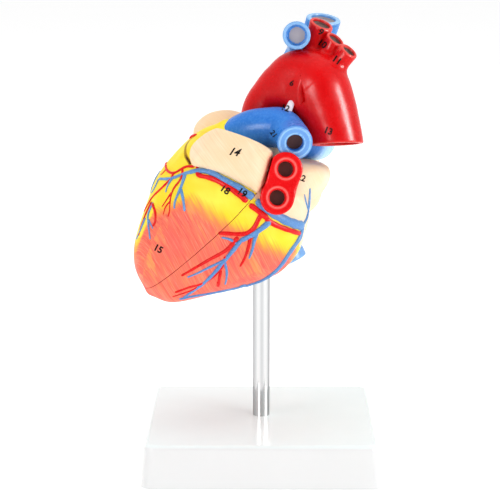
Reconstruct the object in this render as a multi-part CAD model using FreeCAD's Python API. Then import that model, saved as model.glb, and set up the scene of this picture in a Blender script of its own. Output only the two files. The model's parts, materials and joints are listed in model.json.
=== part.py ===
# Human heart anatomy model on a display stand, life size.
# A square hollow base carries an upright tube. The heart stands on the tube by a blind sleeve.
# The heart opens: its front wall, with the left auricle, is held to the rear half by magnets.
# Frame: millimetres, +Z up, origin at the centre of the base's underside, on the tube's axis.
# -X is the heart's front (anterior), -Y its left side, +Y its right side.
import FreeCAD, Part
import math
import os

V = FreeCAD.Vector

# ---------------------------------------------------------------- driving sizes, mm
BASE_SIDE = 120.0          # outside length of the base at its rim
BASE_TOP_SIDE = 116.2      # the sides lean in by the mould's draft
BASE_HEIGHT = 22.0         # top face above the table
BASE_RIM_Z = 0.4           # the rim stands this far off the table, the bottom plate carries
BASE_WALL = 2.6
BASE_CORNER_R = 5.0
BASE_EDGE_R = 2.8
PLATE_T = 2.0
PLATE_CLEAR = 0.2          # between the bottom plate's edge and the shell's wall
POST_R = 5.0
SCREW_OFFSET = 46.0        # screws sit at +-this in X and Y
SCREW_R = 1.4
SCREW_HEAD_R = 2.8
SCREW_HEAD_T = 1.0
SCREW_TOP_Z = 12.0
ROD_R = 4.25
ROD_BORE_R = 3.25
ROD_BOTTOM_Z = 3.3
SOCKET_FLOOR_Z = 3.2       # the tube stands on this floor of the base's socket
ROD_TOP_Z = 119.9
RUN_CLEAR = 0.05           # radial clearance of the tube in its two sockets
BOSS_R = 8.0
SLEEVE_R = 6.0
SLEEVE_FLOOR_Z = 120.0      # blind end of the sleeve's bore, which rests on the tube
SLEEVE_TOP_Z = 124.0
SPLIT_GAP = 0.30           # gap between the front wall and the rear half
MAGNET_R = 3.0
MAGNET_T = 2.2

# ---------------------------------------------------------------- heart axes
O = V(0, 0, 148)                                   # middle of the valve plane
A = V(-0.688, -0.188, -0.702); A.normalize()       # long axis, towards the apex
E1 = V(-0.69, 0, 0.72); E1 = E1 - A * E1.dot(A); E1.normalize()   # towards the front
E2 = E1.cross(A); E2.normalize()
if E2.y < 0:
    E2 = E2 * -1                                   # towards the heart's right side


def at(s, u, w):
    """A point from heart coordinates: s along the axis, u to the front, w to the right."""
    return O + A * s + E1 * u + E2 * w


# Ventricles: half widths of the section at each station along the axis.
STATION = [-16, -12, -6, 0, 6, 12, 20, 30, 40, 50, 60, 70, 76, 80, 82.4]
FRONT_W = [8.0, 18, 29, 36.0, 39.4, 41.2, 42.2, 41.2, 38.0, 33.3, 28.4, 23.0, 17.6, 12.0, 6.2]
BACK_W = [8.0, 19, 28, 33.5, 37.2, 41.2, 43.2, 41.7, 36.2, 29.8, 23.8, 17.6, 13.4, 9.4, 4.9]
LEFT_W = [8.0, 20, 30, 36, 39, 41, 42, 41, 38, 33.5, 28, 21.5, 16.2, 11.0, 5.6]
RIGHT_W = [8.0, 22, 32, 38, 41.5, 43, 43.5, 41.5, 37, 31, 25, 18.5, 13.8, 9.6, 5.0]
LOBE_P = 2.15              # section shape: 2 is an ellipse, more is squarer

# Split planes of the removable front wall.
NA = V(-0.7065, -0.1329, 0.6951); NA.normalize()   # main cut, along the long axis
DA = 108.9                                         # NA . p on the main cut
NB = V(0.367, 0.309, 0.877); NB.normalize()        # upper cut, under the great vessels
PB = V(-33.5, 2.0, 169.5)                          # a point on the upper cut
NC = V(0.958, 0.0, -0.287); NC.normalize()         # end cut, beside the left pulmonary veins
PC = V(2.0, -38.0, 152.0)                          # a point on the end cut
PULL = V(-0.80, -0.58, 0.14); PULL.normalize()     # the way the front wall comes off


def superellipse_point(s_i, t):
    c, n = math.cos(t), math.sin(t)
    a = FRONT_W[s_i] if c > 0 else BACK_W[s_i]
    b = RIGHT_W[s_i] if n > 0 else LEFT_W[s_i]
    r = (abs(c / a) ** LOBE_P + abs(n / b) ** LOBE_P) ** (-1.0 / LOBE_P)
    return at(STATION[s_i], r * c, r * n)


def closed_wire(points):
    curve = Part.BSplineCurve()
    curve.interpolate(Points=points, PeriodicFlag=True)
    return Part.Wire(curve.toShape())


def loft(wires, ruled=False):
    return Part.makeLoft(wires, True, ruled, False, 3)


def circle_wire(c, n, r, ref=None):
    """A round section. Its first point follows ref, so that a loft of several doesn't twist."""
    n = V(n); n.normalize()
    ref = V(ref) if ref is not None else V(0, 0, 1)
    x = ref - n * ref.dot(n)
    x.normalize()
    y = n.cross(x)
    return closed_wire([V(c) + x * (r * math.cos(math.tau * k / 16)) + y * (r * math.sin(math.tau * k / 16)) for k in range(16)])


def tube(path, radii, ref, ends=None):
    """A smooth solid bar through path with a radius at each point. ends are its end directions."""
    n = len(path)
    wires = []
    for i in range(n):
        if i == 0:
            d = path[1] - path[0] if not ends or ends[0] is None else V(ends[0])
        elif i == n - 1:
            d = path[-1] - path[-2] if not ends or ends[1] is None else V(ends[1])
        else:
            a = path[i] - path[i - 1]; b = path[i + 1] - path[i]
            a.normalize(); b.normalize()
            d = a + b
        wires.append(circle_wire(path[i], d, radii[i], ref))
    s = loft(wires)
    if s.Volume < 0:
        s = s.reversed()
    return s


def ellipsoid(c, r, axes=None):
    """r along axes, which default to the frame's."""
    x, y, z = axes if axes else (V(1, 0, 0), V(0, 1, 0), V(0, 0, 1))
    m = FreeCAD.Matrix(x.x * r[0], y.x * r[1], z.x * r[2], c.x,
                       x.y * r[0], y.y * r[1], z.y * r[2], c.y,
                       x.z * r[0], y.z * r[1], z.z * r[2], c.z,
                       0, 0, 0, 1)
    return Part.makeSphere(1.0).transformGeometry(m)


def cyl(c, d, r, h):
    return Part.makeCylinder(r, h, V(c), V(d))


def one_solid(shape, name=""):
    """The largest solid of a boolean's result; slivers go."""
    sol = sorted(shape.Solids, key=lambda q: abs(q.Volume), reverse=True)
    if not sol:
        raise RuntimeError("no solid left in " + name)
    if not sol[0].isValid():
        print("  not valid:", name)
    return sol[0]


def blind_end(body, c, out, r, depth):
    """Cuts the blind lumen at a vessel's end. c is the end face's centre."""
    out = V(out); out.normalize()
    return body.cut(cyl(V(c) - out * depth, out, r, depth + 2.0))


def half_space(n, p, size=400.0, thick=260.0):
    """A block that fills the side of the plane that n points to."""
    n = V(n); n.normalize()
    x = V(0, 1, 0) - n * n.y
    x.normalize()
    y = n.cross(x)
    c = V(p)
    pts = [c + x * size * a + y * size * b for a, b in ((-.5, -.5), (.5, -.5), (.5, .5), (-.5, .5))]
    face = Part.Face(Part.makePolygon(pts + [pts[0]]))
    block_ = face.extrude(n * thick)
    return block_ if block_.Volume > 0 else block_.reversed()


def beads(points, radii):
    """A bent cavity: cones from point to point with a ball at each point but the last."""
    made = []
    for i in range(len(points) - 1):
        d = points[i + 1] - points[i]
        if abs(radii[i] - radii[i + 1]) < 1e-6:
            made.append(Part.makeCylinder(radii[i], d.Length, points[i], d))
        else:
            made.append(Part.makeCone(radii[i], radii[i + 1], d.Length, points[i], d))
        made.append(Part.makeSphere(radii[i], points[i]))
    return one_solid(made[0].fuse(made[1:]), "beads")


parts = {}

# ================================================================ stand
def rounded_square(side, z, r):
    h = side / 2.0
    e = []
    k = r * (1 - math.sqrt(0.5))
    for (sx, sy), (tx, ty) in (((-1, -1), (1, -1)), ((1, -1), (1, 1)), ((1, 1), (-1, 1)), ((-1, 1), (-1, -1))):
        if sy == ty:
            a = V(sx * (h - r), sy * h, z); b = V(tx * (h - r), ty * h, z)
        else:
            a = V(sx * h, sy * (h - r), z); b = V(tx * h, ty * (h - r), z)
        e.append(Part.LineSegment(a, b).toShape())
        cx, cy = tx * (h - r), ty * (h - r)
        mid = V(tx * (h - k), ty * (h - k), z)
        if sy == ty:
            end = V(tx * h, ty * (h - r), z)
        else:
            end = V(tx * (h - r), ty * h, z)
        e.append(Part.Arc(b, mid, end).toShape())
    return Part.Wire(Part.__sortEdges__(e))


def block(side0, side1, z0, z1, r0, r1):
    return Part.makeLoft([rounded_square(side0, z0, r0), rounded_square(side1, z1, r1)], True, True)


outer = block(BASE_SIDE, BASE_TOP_SIDE, BASE_RIM_Z, BASE_HEIGHT, BASE_CORNER_R + 0.6, BASE_CORNER_R)
top_edges = [e for e in outer.Edges if abs(e.BoundBox.ZMin - BASE_HEIGHT) < 1e-3 and abs(e.BoundBox.ZMax - BASE_HEIGHT) < 1e-3]
outer = outer.makeFillet(BASE_EDGE_R, top_edges)
inner = block(BASE_SIDE - 2 * BASE_WALL + 0.12, BASE_TOP_SIDE - 2 * BASE_WALL + 0.3, BASE_RIM_Z - 1.0,
              BASE_HEIGHT - BASE_WALL, BASE_CORNER_R - 2.0, BASE_CORNER_R - 2.4)
shell = outer.cut(inner)
boss = cyl(V(0, 0, PLATE_T), V(0, 0, 1), BOSS_R, BASE_HEIGHT - BASE_WALL - PLATE_T + 0.4)
ribs = []
for a in range(4):                                  # cross ribs from the boss to the walls
    rib = Part.makeBox(BASE_SIDE / 2 - BASE_WALL - 1.0 - BOSS_R + 2.0, 2.0, 14.0,
                       V(BOSS_R - 1.0, -1.0, BASE_HEIGHT - BASE_WALL - 13.6))
    rib.rotate(V(0, 0, 0), V(0, 0, 1), 90.0 * a)
    ribs.append(rib)
corners = [(sx * SCREW_OFFSET, sy * SCREW_OFFSET) for sx in (-1, 1) for sy in (-1, 1)]
posts = [cyl(V(x, y, PLATE_T), V(0, 0, 1), POST_R, BASE_HEIGHT - BASE_WALL - PLATE_T + 0.4) for x, y in corners]
base = shell.fuse([boss] + ribs + posts)
base = base.cut(cyl(V(0, 0, SOCKET_FLOOR_Z), V(0, 0, 1), ROD_R + RUN_CLEAR, BASE_HEIGHT + 5))
base = base.cut([cyl(V(x, y, 0), V(0, 0, 1), SCREW_R, SCREW_TOP_Z + 1.0) for x, y in corners])
parts["base_shell"] = one_solid(base.removeSplitter(), "base")

plate_side = BASE_SIDE - 2 * BASE_WALL + 0.12 - 0.08 - 2 * PLATE_CLEAR
plate = block(plate_side, plate_side - 0.06, 0.0, PLATE_T, BASE_CORNER_R - 2.0, BASE_CORNER_R - 2.0)
plate = plate.cut([cyl(V(x, y, -1), V(0, 0, 1), SCREW_R + 0.2, PLATE_T + 2) for x, y in corners])
plate = plate.cut([cyl(V(x, y, -1), V(0, 0, 1), SCREW_HEAD_R + 0.3, 1.0 + 1.2) for x, y in corners])
parts["base_plate"] = one_solid(plate, "plate")
screws = []
for x, y in corners:
    sc = cyl(V(x, y, 1.2 - SCREW_HEAD_T), V(0, 0, 1), SCREW_HEAD_R, SCREW_HEAD_T)
    sc = sc.fuse(cyl(V(x, y, 1.2 - 0.1), V(0, 0, 1), SCREW_R, SCREW_TOP_Z - 1.1))
    cross = Part.makeBox(3.0, 0.6, 0.6, V(x - 1.5, y - 0.3, 0.1)).fuse(Part.makeBox(0.6, 3.0, 0.6, V(x - 0.3, y - 1.5, 0.1)))
    screws.append(one_solid(sc.cut(cross)))
parts["base_screws"] = Part.makeCompound(screws)

rod = cyl(V(0, 0, ROD_BOTTOM_Z), V(0, 0, 1), ROD_R, ROD_TOP_Z - ROD_BOTTOM_Z)
rod = rod.makeFillet(0.4, [e for e in rod.Edges if e.BoundBox.ZLength < 1e-3])
rod = rod.cut(cyl(V(0, 0, 0), V(0, 0, 1), ROD_BORE_R, 200))
parts["support_rod"] = one_solid(rod)

# ================================================================ heart, outer form
ventricles = loft([closed_wire([superellipse_point(i, math.tau * k / 20.0) for k in range(20)])
                   for i in range(len(STATION))])
conus = tube([V(-40, 7, 139), V(-33, 3, 151.5), V(-26, -2, 161.0), V(-18.5, -6.8, 167.2)],
             [15.5, 14.0, 12.2, 10.4], V(0, 1, 0), (None, V(0.7, -0.33, 0.63)))
left_atrium_form = ellipsoid(V(16.5, -8, 153), (18.8, 27, 17.5))
left_atrium_form = left_atrium_form.cut(half_space(V(0.40, 0, 0.917), V(24.5, -5, 158.5)))   # its roof slopes under the right pulmonary artery
right_atrium_form = ellipsoid(V(9.5, 27, 147.5), (21, 17, 26))
crux_form = ellipsoid(V(13, 5, 139.3), (18.0, 27, 14))
heart = ventricles.fuse([conus, left_atrium_form, right_atrium_form, crux_form])
heart = one_solid(heart, "heart")

# Wedge of space that belongs to the front wall, and the same pushed back by the gap.
def front_region(gap):
    a = half_space(NA, NA * (DA + gap))
    b = half_space(NB * -1, PB - NB * gap)
    c = half_space(NC * -1, PC - NC * gap)
    return a.common(b).common(c)


front_space = front_region(0.0)
clear_space = front_region(-SPLIT_GAP)
auricle_clear = half_space(NC * -1, PC + NC * SPLIT_GAP).common(half_space(NB * -1, PB + NB * 2.2)).common(half_space(NA, NA * (DA - SPLIT_GAP)))

# Chambers, and the ways out of them.
lv_room = ellipsoid(at(33, 3, -18.5), (30, 19.5, 13.4), (A, E1, E2))
rv_room = ellipsoid(at(26, 8, 21.0), (26, 20.0, 12.5), (A, E1, E2))
conus_room = beads([at(20, 17, 18), V(-30, 3.0, 151), V(-22, -4.4, 163.2), V(-11.5, -10.2, 171.6)], [9.4, 8.8, 7.6, 6.9])
MITRAL_C, MITRAL_R = at(3.0, -8, -18.5), 10.5
TRICUSPID_C, TRICUSPID_R = at(1.5, -4.5, 22.0), 11.0
mitral_hole = cyl(MITRAL_C - A * 9, A, MITRAL_R, 20)
tricuspid_hole = cyl(TRICUSPID_C - A * 9, A, TRICUSPID_R, 20)
AORTA_ROOT = V(-0.8, 5.5, 165.0)
vestibule = beads([at(18, 6, -13), at(7, 6, -6), V(-1.2, 5.0, 160), AORTA_ROOT + V(0, 0, 3.0)], [8.6, 8.2, 7.8, 7.8])

# ================================================================ great vessels
def on(*p):
    return V(*p)


aorta_path = [on(-1, 5.5, 166), on(-0.3, 5.2, 174), on(0.8, 4.4, 182), on(4.0, 2.6, 190), on(9.4, 0.2, 197), on(16.2, -2.0, 201),
              on(23.2, -4.0, 199.6), on(28.8, -5.8, 194.4), on(32.6, -8.0, 186), on(35.4, -10.4, 176.5), on(38.2, -13.2, 166.4)]
aorta_r = [10.8, 10.9, 10.7, 10.3, 10.2, 10.9, 12.4, 13.8, 14.5, 13.9, 13.1]
JOIN_P, JOIN_N = V(18.6, -3.4, 200.5), V(0.883, 0.456, 0.109)      # glued joint across the arch
ascending = tube(aorta_path[:7], aorta_r[:7], V(0, 1, 0), (V(0.1, 0, 1), None))
arch_web = Part.makeSphere(7.0, V(17.6, -8.0, 190.8))              # fills the inside of the bend
ascending = one_solid(ascending.fuse(arch_web), "ascending")
ascending = one_solid(ascending.cut(half_space(JOIN_N, JOIN_P)), "ascending")
arch = tube(aorta_path[4:], aorta_r[4:], V(0, 1, 0), (None, V(0.04, -0.2, -0.98)))
arch_path = aorta_path
DESC_END, DESC_DIR = arch_path[-1], V(0.04, -0.2, -0.98)
trunk9 = tube([on(22.5, 2.6, 203), on(26.5, 5.8, 213), on(30.5, 8.0, 225.3)], [6.4, 4.9, 6.2], V(0, 1, 0), (None, V(0.36, 0.0, 0.93)))
trunk10 = tube([on(29, -1.5, 203), on(33.2, -0.6, 210.5), on(37.4, 0.2, 218.2)], [5.6, 4.4, 5.1], V(0, 1, 0), (None, V(0.58, 0.0, 0.81)))
trunk11 = tube([on(33, -5.5, 198), on(38.5, -5.8, 205.5), on(44.0, -6.0, 212.9)], [5.6, 4.7, 5.0], V(0, 1, 0), (None, V(0.62, 0.0, 0.78)))
arch = one_solid(arch.fuse([trunk9, trunk10, trunk11]), "arch")
before_joint = half_space(JOIN_N * -1, JOIN_P).common(Part.makeBox(80, 80, 60, V(-40, -40, 187.6)))
arch = one_solid(arch.cut(before_joint), "arch")
arch = one_solid(arch.cut(ascending), "arch")
arch = blind_end(arch, DESC_END, DESC_DIR, 10.6, 7.0)
arch = blind_end(arch, on(30.5, 8.0, 225.3), V(0.36, 0.0, 0.93), 4.3, 5.0)
arch = blind_end(arch, on(37.4, 0.2, 218.2), V(0.58, 0, 0.81), 3.3, 4.5)
arch = blind_end(arch, on(44.0, -6.0, 212.9), V(0.62, 0, 0.78), 3.1, 4.5)
arch = one_solid(arch, "arch")

# Pulmonary trunk with the left branch and, behind the ascending aorta, the right branch.
pt_path = [on(-17.5, -7.2, 168.0), on(-12.0, -9.8, 171.2), on(-6.0, -13.0, 173.6), on(2.5, -15.5, 175.2), on(9.5, -17.5, 175.0),
           on(14.6, -26.0, 172.4), on(16.5, -38.5, 170.4)]
pt_r = [9.6, 10.0, 10.0, 9.9, 10.0, 8.8, 8.8]
PT_DIR = V(0.78, -0.35, 0.52)
LPA_END, LPA_DIR = pt_path[-1], V(0.12, -0.97, -0.16)
pt = tube(pt_path, pt_r, V(0, 0, 1), (PT_DIR, LPA_DIR))
rpa_path = [on(8.5, -14.0, 175.2), on(17.0, -4.0, 170.5), on(24.5, 8.0, 166), on(29.0, 21, 163.4), on(31, 37, 164.0)]
rpa_r = [8.2, 7.6, 7.8, 8.1, 8.7]
RPA_END, RPA_DIR = rpa_path[-1], V(0.12, 0.98, -0.1)
rpa = tube(rpa_path, rpa_r, V(0, 0, 1), (None, RPA_DIR))
pt = one_solid(pt.fuse(rpa), "pt")
pt = blind_end(pt, LPA_END, LPA_DIR, 4.2, 5.0)
pt = blind_end(pt, RPA_END, RPA_DIR, 5.4, 5.0)
pt = one_solid(pt.cut([ascending, arch]), "pt")

# Superior vena cava, going up as the right brachiocephalic vein, with the left one crossing to the front.
svc_path = [on(7.0, 28, 163), on(8.0, 28, 178), on(12.0, 27.0, 192), on(19.4, 25.5, 205), on(28.0, 24.0, 216), on(31.9, 22, 227)]
svc_r = [9.8, 9.2, 8.7, 8.6, 8.6, 8.9]
SVC_END, SVC_DIR = svc_path[-1], V(0.14, -0.24, 0.96)
svc = tube(svc_path, svc_r, V(0, 1, 0), (V(0, 0, 1), SVC_DIR))
lbv_path = [on(20.5, 25.0, 207.5), on(16.5, 15.5, 215.5), on(16.4, 5.0, 219.6), on(17.4, -10.5, 220.8)]
lbv_r = [7.2, 6.2, 6.2, 7.05]
LBV_END, LBV_DIR = lbv_path[-1], V(-0.1, -0.98, 0.05)
lbv = tube(lbv_path, lbv_r, V(0, 0, 1), (None, LBV_DIR))
svc = one_solid(svc.fuse(lbv), "svc")
svc = blind_end(svc, SVC_END, SVC_DIR, 6.0, 4.5)
svc = blind_end(svc, LBV_END, LBV_DIR, 4.6, 4.0)
svc = one_solid(svc.cut([ascending, arch, pt]), "svc")

ivc_path = [on(8.3, 27, 128), on(9.0, 27, 119), on(10.4, 26.5, 108.5), on(13.6, 26, 99.1)]
IVC_END, IVC_DIR = ivc_path[-1], V(0.42, -0.05, -0.905)
ivc = tube(ivc_path, [10.6, 9.8, 9.6, 10.1], V(0, 1, 0), (None, IVC_DIR))
ivc = blind_end(ivc, IVC_END, IVC_DIR, 7.2, 6.0)

# Pulmonary veins: two cut ends in one figure-of-eight block on each side.
def vein_pair(p_up, p_low, out, root_shift, r, lumen):
    out = V(out); out.normalize()
    made = None
    mid = (p_up + p_low) * 0.5
    for p in (p_up, p_low):
        root = p - out * root_shift + (mid - p) * 0.18
        t = tube([root, p - out * (root_shift * 0.45), p], [r * 1.08, r * 0.98, r], V(0, 0, 1), (out, out))
        made = t if made is None else made.fuse(t)
    bridge = tube([mid - out * root_shift, mid - out * (root_shift * 0.5), mid - out * 0.25], [r * 1.0, r * 0.95, r * 0.92], V(0, 0, 1), (out, out))
    made = one_solid(made.fuse(bridge), "veins")
    for p in (p_up, p_low):
        made = blind_end(made, p, out, lumen, 4.5)
    return one_solid(made, "veins")


LPV_OUT = V(0.10, -0.97, 0.20)
lpv = vein_pair(on(12.0, -42.2, 158.2), on(7.6, -42.4, 143.9), LPV_OUT, 12.5, 8.4, 4.9)
lpv = one_solid(lpv.cut(clear_space).cut(auricle_clear).cut(mitral_hole), "lpv")
RPV_OUT = V(0.20, 0.97, 0.05)
rpv = vein_pair(on(23.5, 43.5, 149.5), on(22.5, 43.5, 136.5), RPV_OUT, 22.0, 7.2, 4.4)

# Small ligament between the pulmonary trunk and the arch.
lig = tube([on(11.6, -16.5, 181.5), on(14.2, -11.5, 187.5), on(16.0, -8.0, 193.5)], [2.3, 1.9, 2.3], V(0, 1, 0))
lig = one_solid(lig.cut([pt, arch, ascending]), "lig")

# ================================================================ auricles, left on the front wall, right on the rear half
def pillow(outline, out, layers):
    """A crowned form: the outline scaled about its middle at each layer (offset along out, scale)."""
    out = V(out); out.normalize()
    c = V(0, 0, 0)
    for p in outline:
        c = c + p
    c = c * (1.0 / len(outline))
    flat = [p - out * (p - c).dot(out) for p in outline]
    wires = []
    for off, k in layers:
        wires.append(closed_wire([c + (p - c) * k + out * off for p in flat]))
    return loft(wires)


la_out = V(-0.18, -0.95, 0.24)
la_outline = [V(x, -34, z) for x, z in ((-37.0, 164.0), (-35.0, 170.2), (-27.5, 175.4), (-18.5, 178.0), (-9.5, 176.4), (-1.0, 172.2),
                                        (5.0, 167.0), (5.2, 160.0), (3.4, 152.6), (0.0, 145.0), (-8.0, 148.8), (-17.0, 153.0), (-26.5, 156.4), (-33.8, 158.6))]
left_auricle = pillow(la_outline, la_out, [(-11, 0.90), (-5, 0.97), (0.5, 1.0), (4.5, 0.93), (7.6, 0.76), (9.4, 0.5), (10.2, 0.2)])
right_auricle = ellipsoid(V(-18.5, 16, 168), (17.0, 17.0, 12.0))

# ================================================================ front wall and rear half
front = heart.common(front_space)
front = one_solid(front, "front")
left_rooms = one_solid(lv_room.fuse(vestibule), "left rooms")
right_rooms = one_solid(rv_room.fuse(conus_room), "right rooms")
for k, tool in enumerate((left_rooms, right_rooms)):
    front = one_solid(front.cut(tool), "front tool %d" % k)

PT_CLEAR = tube(pt_path, [r + 0.5 for r in pt_r], V(0, 0, 1), (PT_DIR, LPA_DIR))
auricle_space = half_space(NB * -1, PB).common(half_space(NC * -1, PC))
left_auricle = one_solid(left_auricle.cut(heart), "left auricle")
left_auricle = one_solid(left_auricle.common(auricle_space), "left auricle")
left_auricle = one_solid(left_auricle.cut(PT_CLEAR), "left auricle")
left_auricle = one_solid(left_auricle.cut(half_space(NA * -1, NA * DA)), "left auricle")

rear = one_solid(heart.cut(clear_space), "rear")
rear = one_solid(rear.cut(left_rooms), "rear left rooms")
rear = one_solid(rear.cut(right_rooms), "rear right rooms")
rear = one_solid(rear.cut(mitral_hole), "rear mitral")
rear = one_solid(rear.cut(tricuspid_hole), "rear tricuspid")

# Rod sleeve, flush with the heart's underside.
sleeve_form = cyl(V(0, 0, 60), V(0, 0, 1), SLEEVE_R, SLEEVE_TOP_Z - 60)
sleeve = one_solid(sleeve_form.common(heart), "sleeve")
sleeve = sleeve.cut(cyl(V(0, 0, 50), V(0, 0, 1), ROD_R + RUN_CLEAR, SLEEVE_FLOOR_Z - 50))
parts["rod_sleeve"] = one_solid(sleeve, "sleeve")
rear = one_solid(rear.cut(sleeve_form), "rear")

# Vessels sit in sockets of their own shape; nothing of the rear set reaches into the front wall's space.
asc_cut = one_solid(ascending.cut(clear_space), "asc")
asc_cut = one_solid(asc_cut.cut(vestibule), "asc")
pt_cut = one_solid(pt.cut(clear_space), "pt")
pt_cut = one_solid(pt_cut.cut(conus_room), "pt")
pt_cut = one_solid(pt_cut.cut(lpv), "pt")
rpv = one_solid(rpv.cut([pt, ivc]), "rpv")
parts["right_pulmonary_veins"] = rpv
for name, tool in (("asc", ascending), ("svc", svc), ("ivc", ivc), ("lpv", lpv), ("rpv", rpv), ("pt", pt), ("arch", arch)):
    rear = one_solid(rear.cut(tool), "rear " + name)
right_auricle = one_solid(right_auricle.cut(clear_space), "right auricle")
right_auricle = one_solid(right_auricle.cut([heart, ascending, pt, svc, vestibule]), "right auricle")


# ================================================================ valves and papillary muscles
def cone(p, q, r0, r1):
    d = q - p
    return Part.makeCone(r0, r1, d.Length, p, d)


def leaflet_funnel(c, r, drop, r_end, wall):
    """Valve leaflets as a thin funnel hanging from the ring at c into the chamber."""
    out_ = Part.makeCone(r, r_end, drop, c, A)
    in_ = Part.makeCone(r - wall, r_end - wall, drop + 0.02, c - A * 0.01, A)
    ring = cyl(c, A * -1, r, 1.6).cut(cyl(c, A * -1, r - 1.8, 1.6))
    return one_solid(out_.cut(in_).fuse(ring))


def papillary(tips, bases, room):
    """Papillary muscles standing on the chamber wall, pointing at the valve."""
    muscles = []
    for tip, base_ in zip(tips, bases):
        m = cone(base_, tip, 4.6, 2.2).fuse(Part.makeSphere(2.2, tip))
        muscles.append(one_solid(m.common(room), "muscle"))
    return muscles


mitral = leaflet_funnel(MITRAL_C, MITRAL_R, 13.0, 6.8, 1.1)
tricuspid = leaflet_funnel(TRICUSPID_C, TRICUSPID_R, 13.0, 7.2, 1.1)
parts["mitral_valve"] = one_solid(mitral.cut(rear).cut(clear_space), "mitral")
parts["tricuspid_valve"] = one_solid(tricuspid.cut(rear).cut(clear_space), "tricuspid")
lv_m = papillary([at(32, -7, -25), at(33, -9, -13)], [at(54, -10, -27), at(55, -11, -13)], lv_room)
rv_m = papillary([at(28, -4, 26.5), at(29, -6, 16)], [at(47, -6, 27), at(48, -6, 16)], rv_room)
parts["left_papillary_muscles"] = Part.makeCompound(lv_m)
parts["right_papillary_muscles"] = Part.makeCompound(rv_m)


def cusps(c, n, r, t):
    """Three closed cusps as three sectors of a shallow dish, a hair apart."""
    n = V(n); n.normalize()
    dish = cyl(c, n, r, t)
    x = V(0, 1, 0) - n * n.y
    x.normalize()
    y = n.cross(x)
    out_ = dish
    for k in range(3):
        a = math.tau * k / 3.0
        d = x * math.cos(a) + y * math.sin(a)
        e = y * math.cos(a) - x * math.sin(a)
        p = V(c) - e * 0.15 - n * 1.0
        w = Part.makePolygon([p, p + d * (r + 2), p + d * (r + 2) + e * 0.3, p + e * 0.3, p])
        out_ = out_.cut(Part.Face(w).extrude(n * (t + 2)))
    return out_


aortic_valve = cusps(AORTA_ROOT + V(0, 0, 0.6), V(0, 0, 1), 7.7, 1.4).common(vestibule)
pv_c, pv_n = V(-14.9, -8.3, 169.3), V(0.76, -0.42, 0.50)
pulmonary_valve = cusps(pv_c, pv_n, 6.8, 1.3).cut(clear_space)
pulmonary_valve = pulmonary_valve.common(conus_room)
parts["aortic_valve"] = aortic_valve
parts["pulmonary_valve"] = pulmonary_valve

# ================================================================ magnets in the main cut
def on_cut(s_, w_):
    """The point of the main cut at s_ along the axis and w_ to the right."""
    p = at(s_, 0, w_)
    return p + E1 * ((DA - NA.dot(p)) / NA.dot(E1))


front_m, rear_m = [], []
for s_, w_ in ((73.5, -1.0), (36.0, 2.4), (20.0, -37.3), (20.0, 39.6)):
    p = on_cut(s_, w_)
    fm = cyl(p, NA, MAGNET_R, MAGNET_T)
    rm = cyl(p - NA * SPLIT_GAP, NA * -1, MAGNET_R, MAGNET_T)
    front_m.append(fm); rear_m.append(rm)
    front = one_solid(front.cut(fm), "front magnet")
    rear = one_solid(rear.cut(rm), "rear magnet")
parts["front_magnets"] = Part.makeCompound(front_m)
parts["rear_magnets"] = Part.makeCompound(rear_m)

parts["ascending_aorta"] = asc_cut
parts["aortic_arch"] = arch
parts["pulmonary_trunk"] = pt_cut
parts["superior_vena_cava"] = svc
parts["inferior_vena_cava"] = one_solid(ivc)
parts["left_pulmonary_veins"] = lpv
parts["right_pulmonary_veins"] = rpv
parts["ligamentum_arteriosum"] = lig
parts["left_auricle"] = left_auricle
parts["right_auricle"] = right_auricle

# Each half is one moulding. It is kept as a left and a right block that meet on a plane through the septum,
# so that the collision pieces follow each chamber.
SEPTUM_W = 6.5
to_left, to_right = half_space(E2 * -1, at(0, 0, SEPTUM_W)), half_space(E2, at(0, 0, SEPTUM_W))
parts["front_wall_left"] = one_solid(front.common(to_left), "front left")
parts["front_wall_right"] = one_solid(front.common(to_right), "front right")
parts["rear_heart_left"] = one_solid(rear.common(to_left), "rear left")
parts["rear_heart_right"] = one_solid(rear.common(to_right), "rear right")
for whole, pair in ((front, ("front_wall_left", "front_wall_right")), (rear, ("rear_heart_left", "rear_heart_right"))):
    print("split keeps %.2f of %.2f cm3" % (sum(parts[n].Volume for n in pair) / 1000, whole.Volume / 1000))

os.makedirs("parts", exist_ok=True)
for f in os.listdir("parts"):
    if f.endswith(".step"):
        os.remove(os.path.join("parts", f))
for name in sorted(parts):
    s = parts[name]
    bad = [q for q in s.Solids if not q.isValid() or q.Volume <= 0]
    print("%-26s solids %d  vol %9.1f  valid %s  faces %d" % (name, len(s.Solids), s.Volume, not bad, len(s.Faces)))
    s.exportStep("parts/%s.step" % name)
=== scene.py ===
import json
import math
import time

import bmesh
import bpy
import numpy as np
from mathutils import Matrix, Vector
from mathutils.bvhtree import BVHTree

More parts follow.
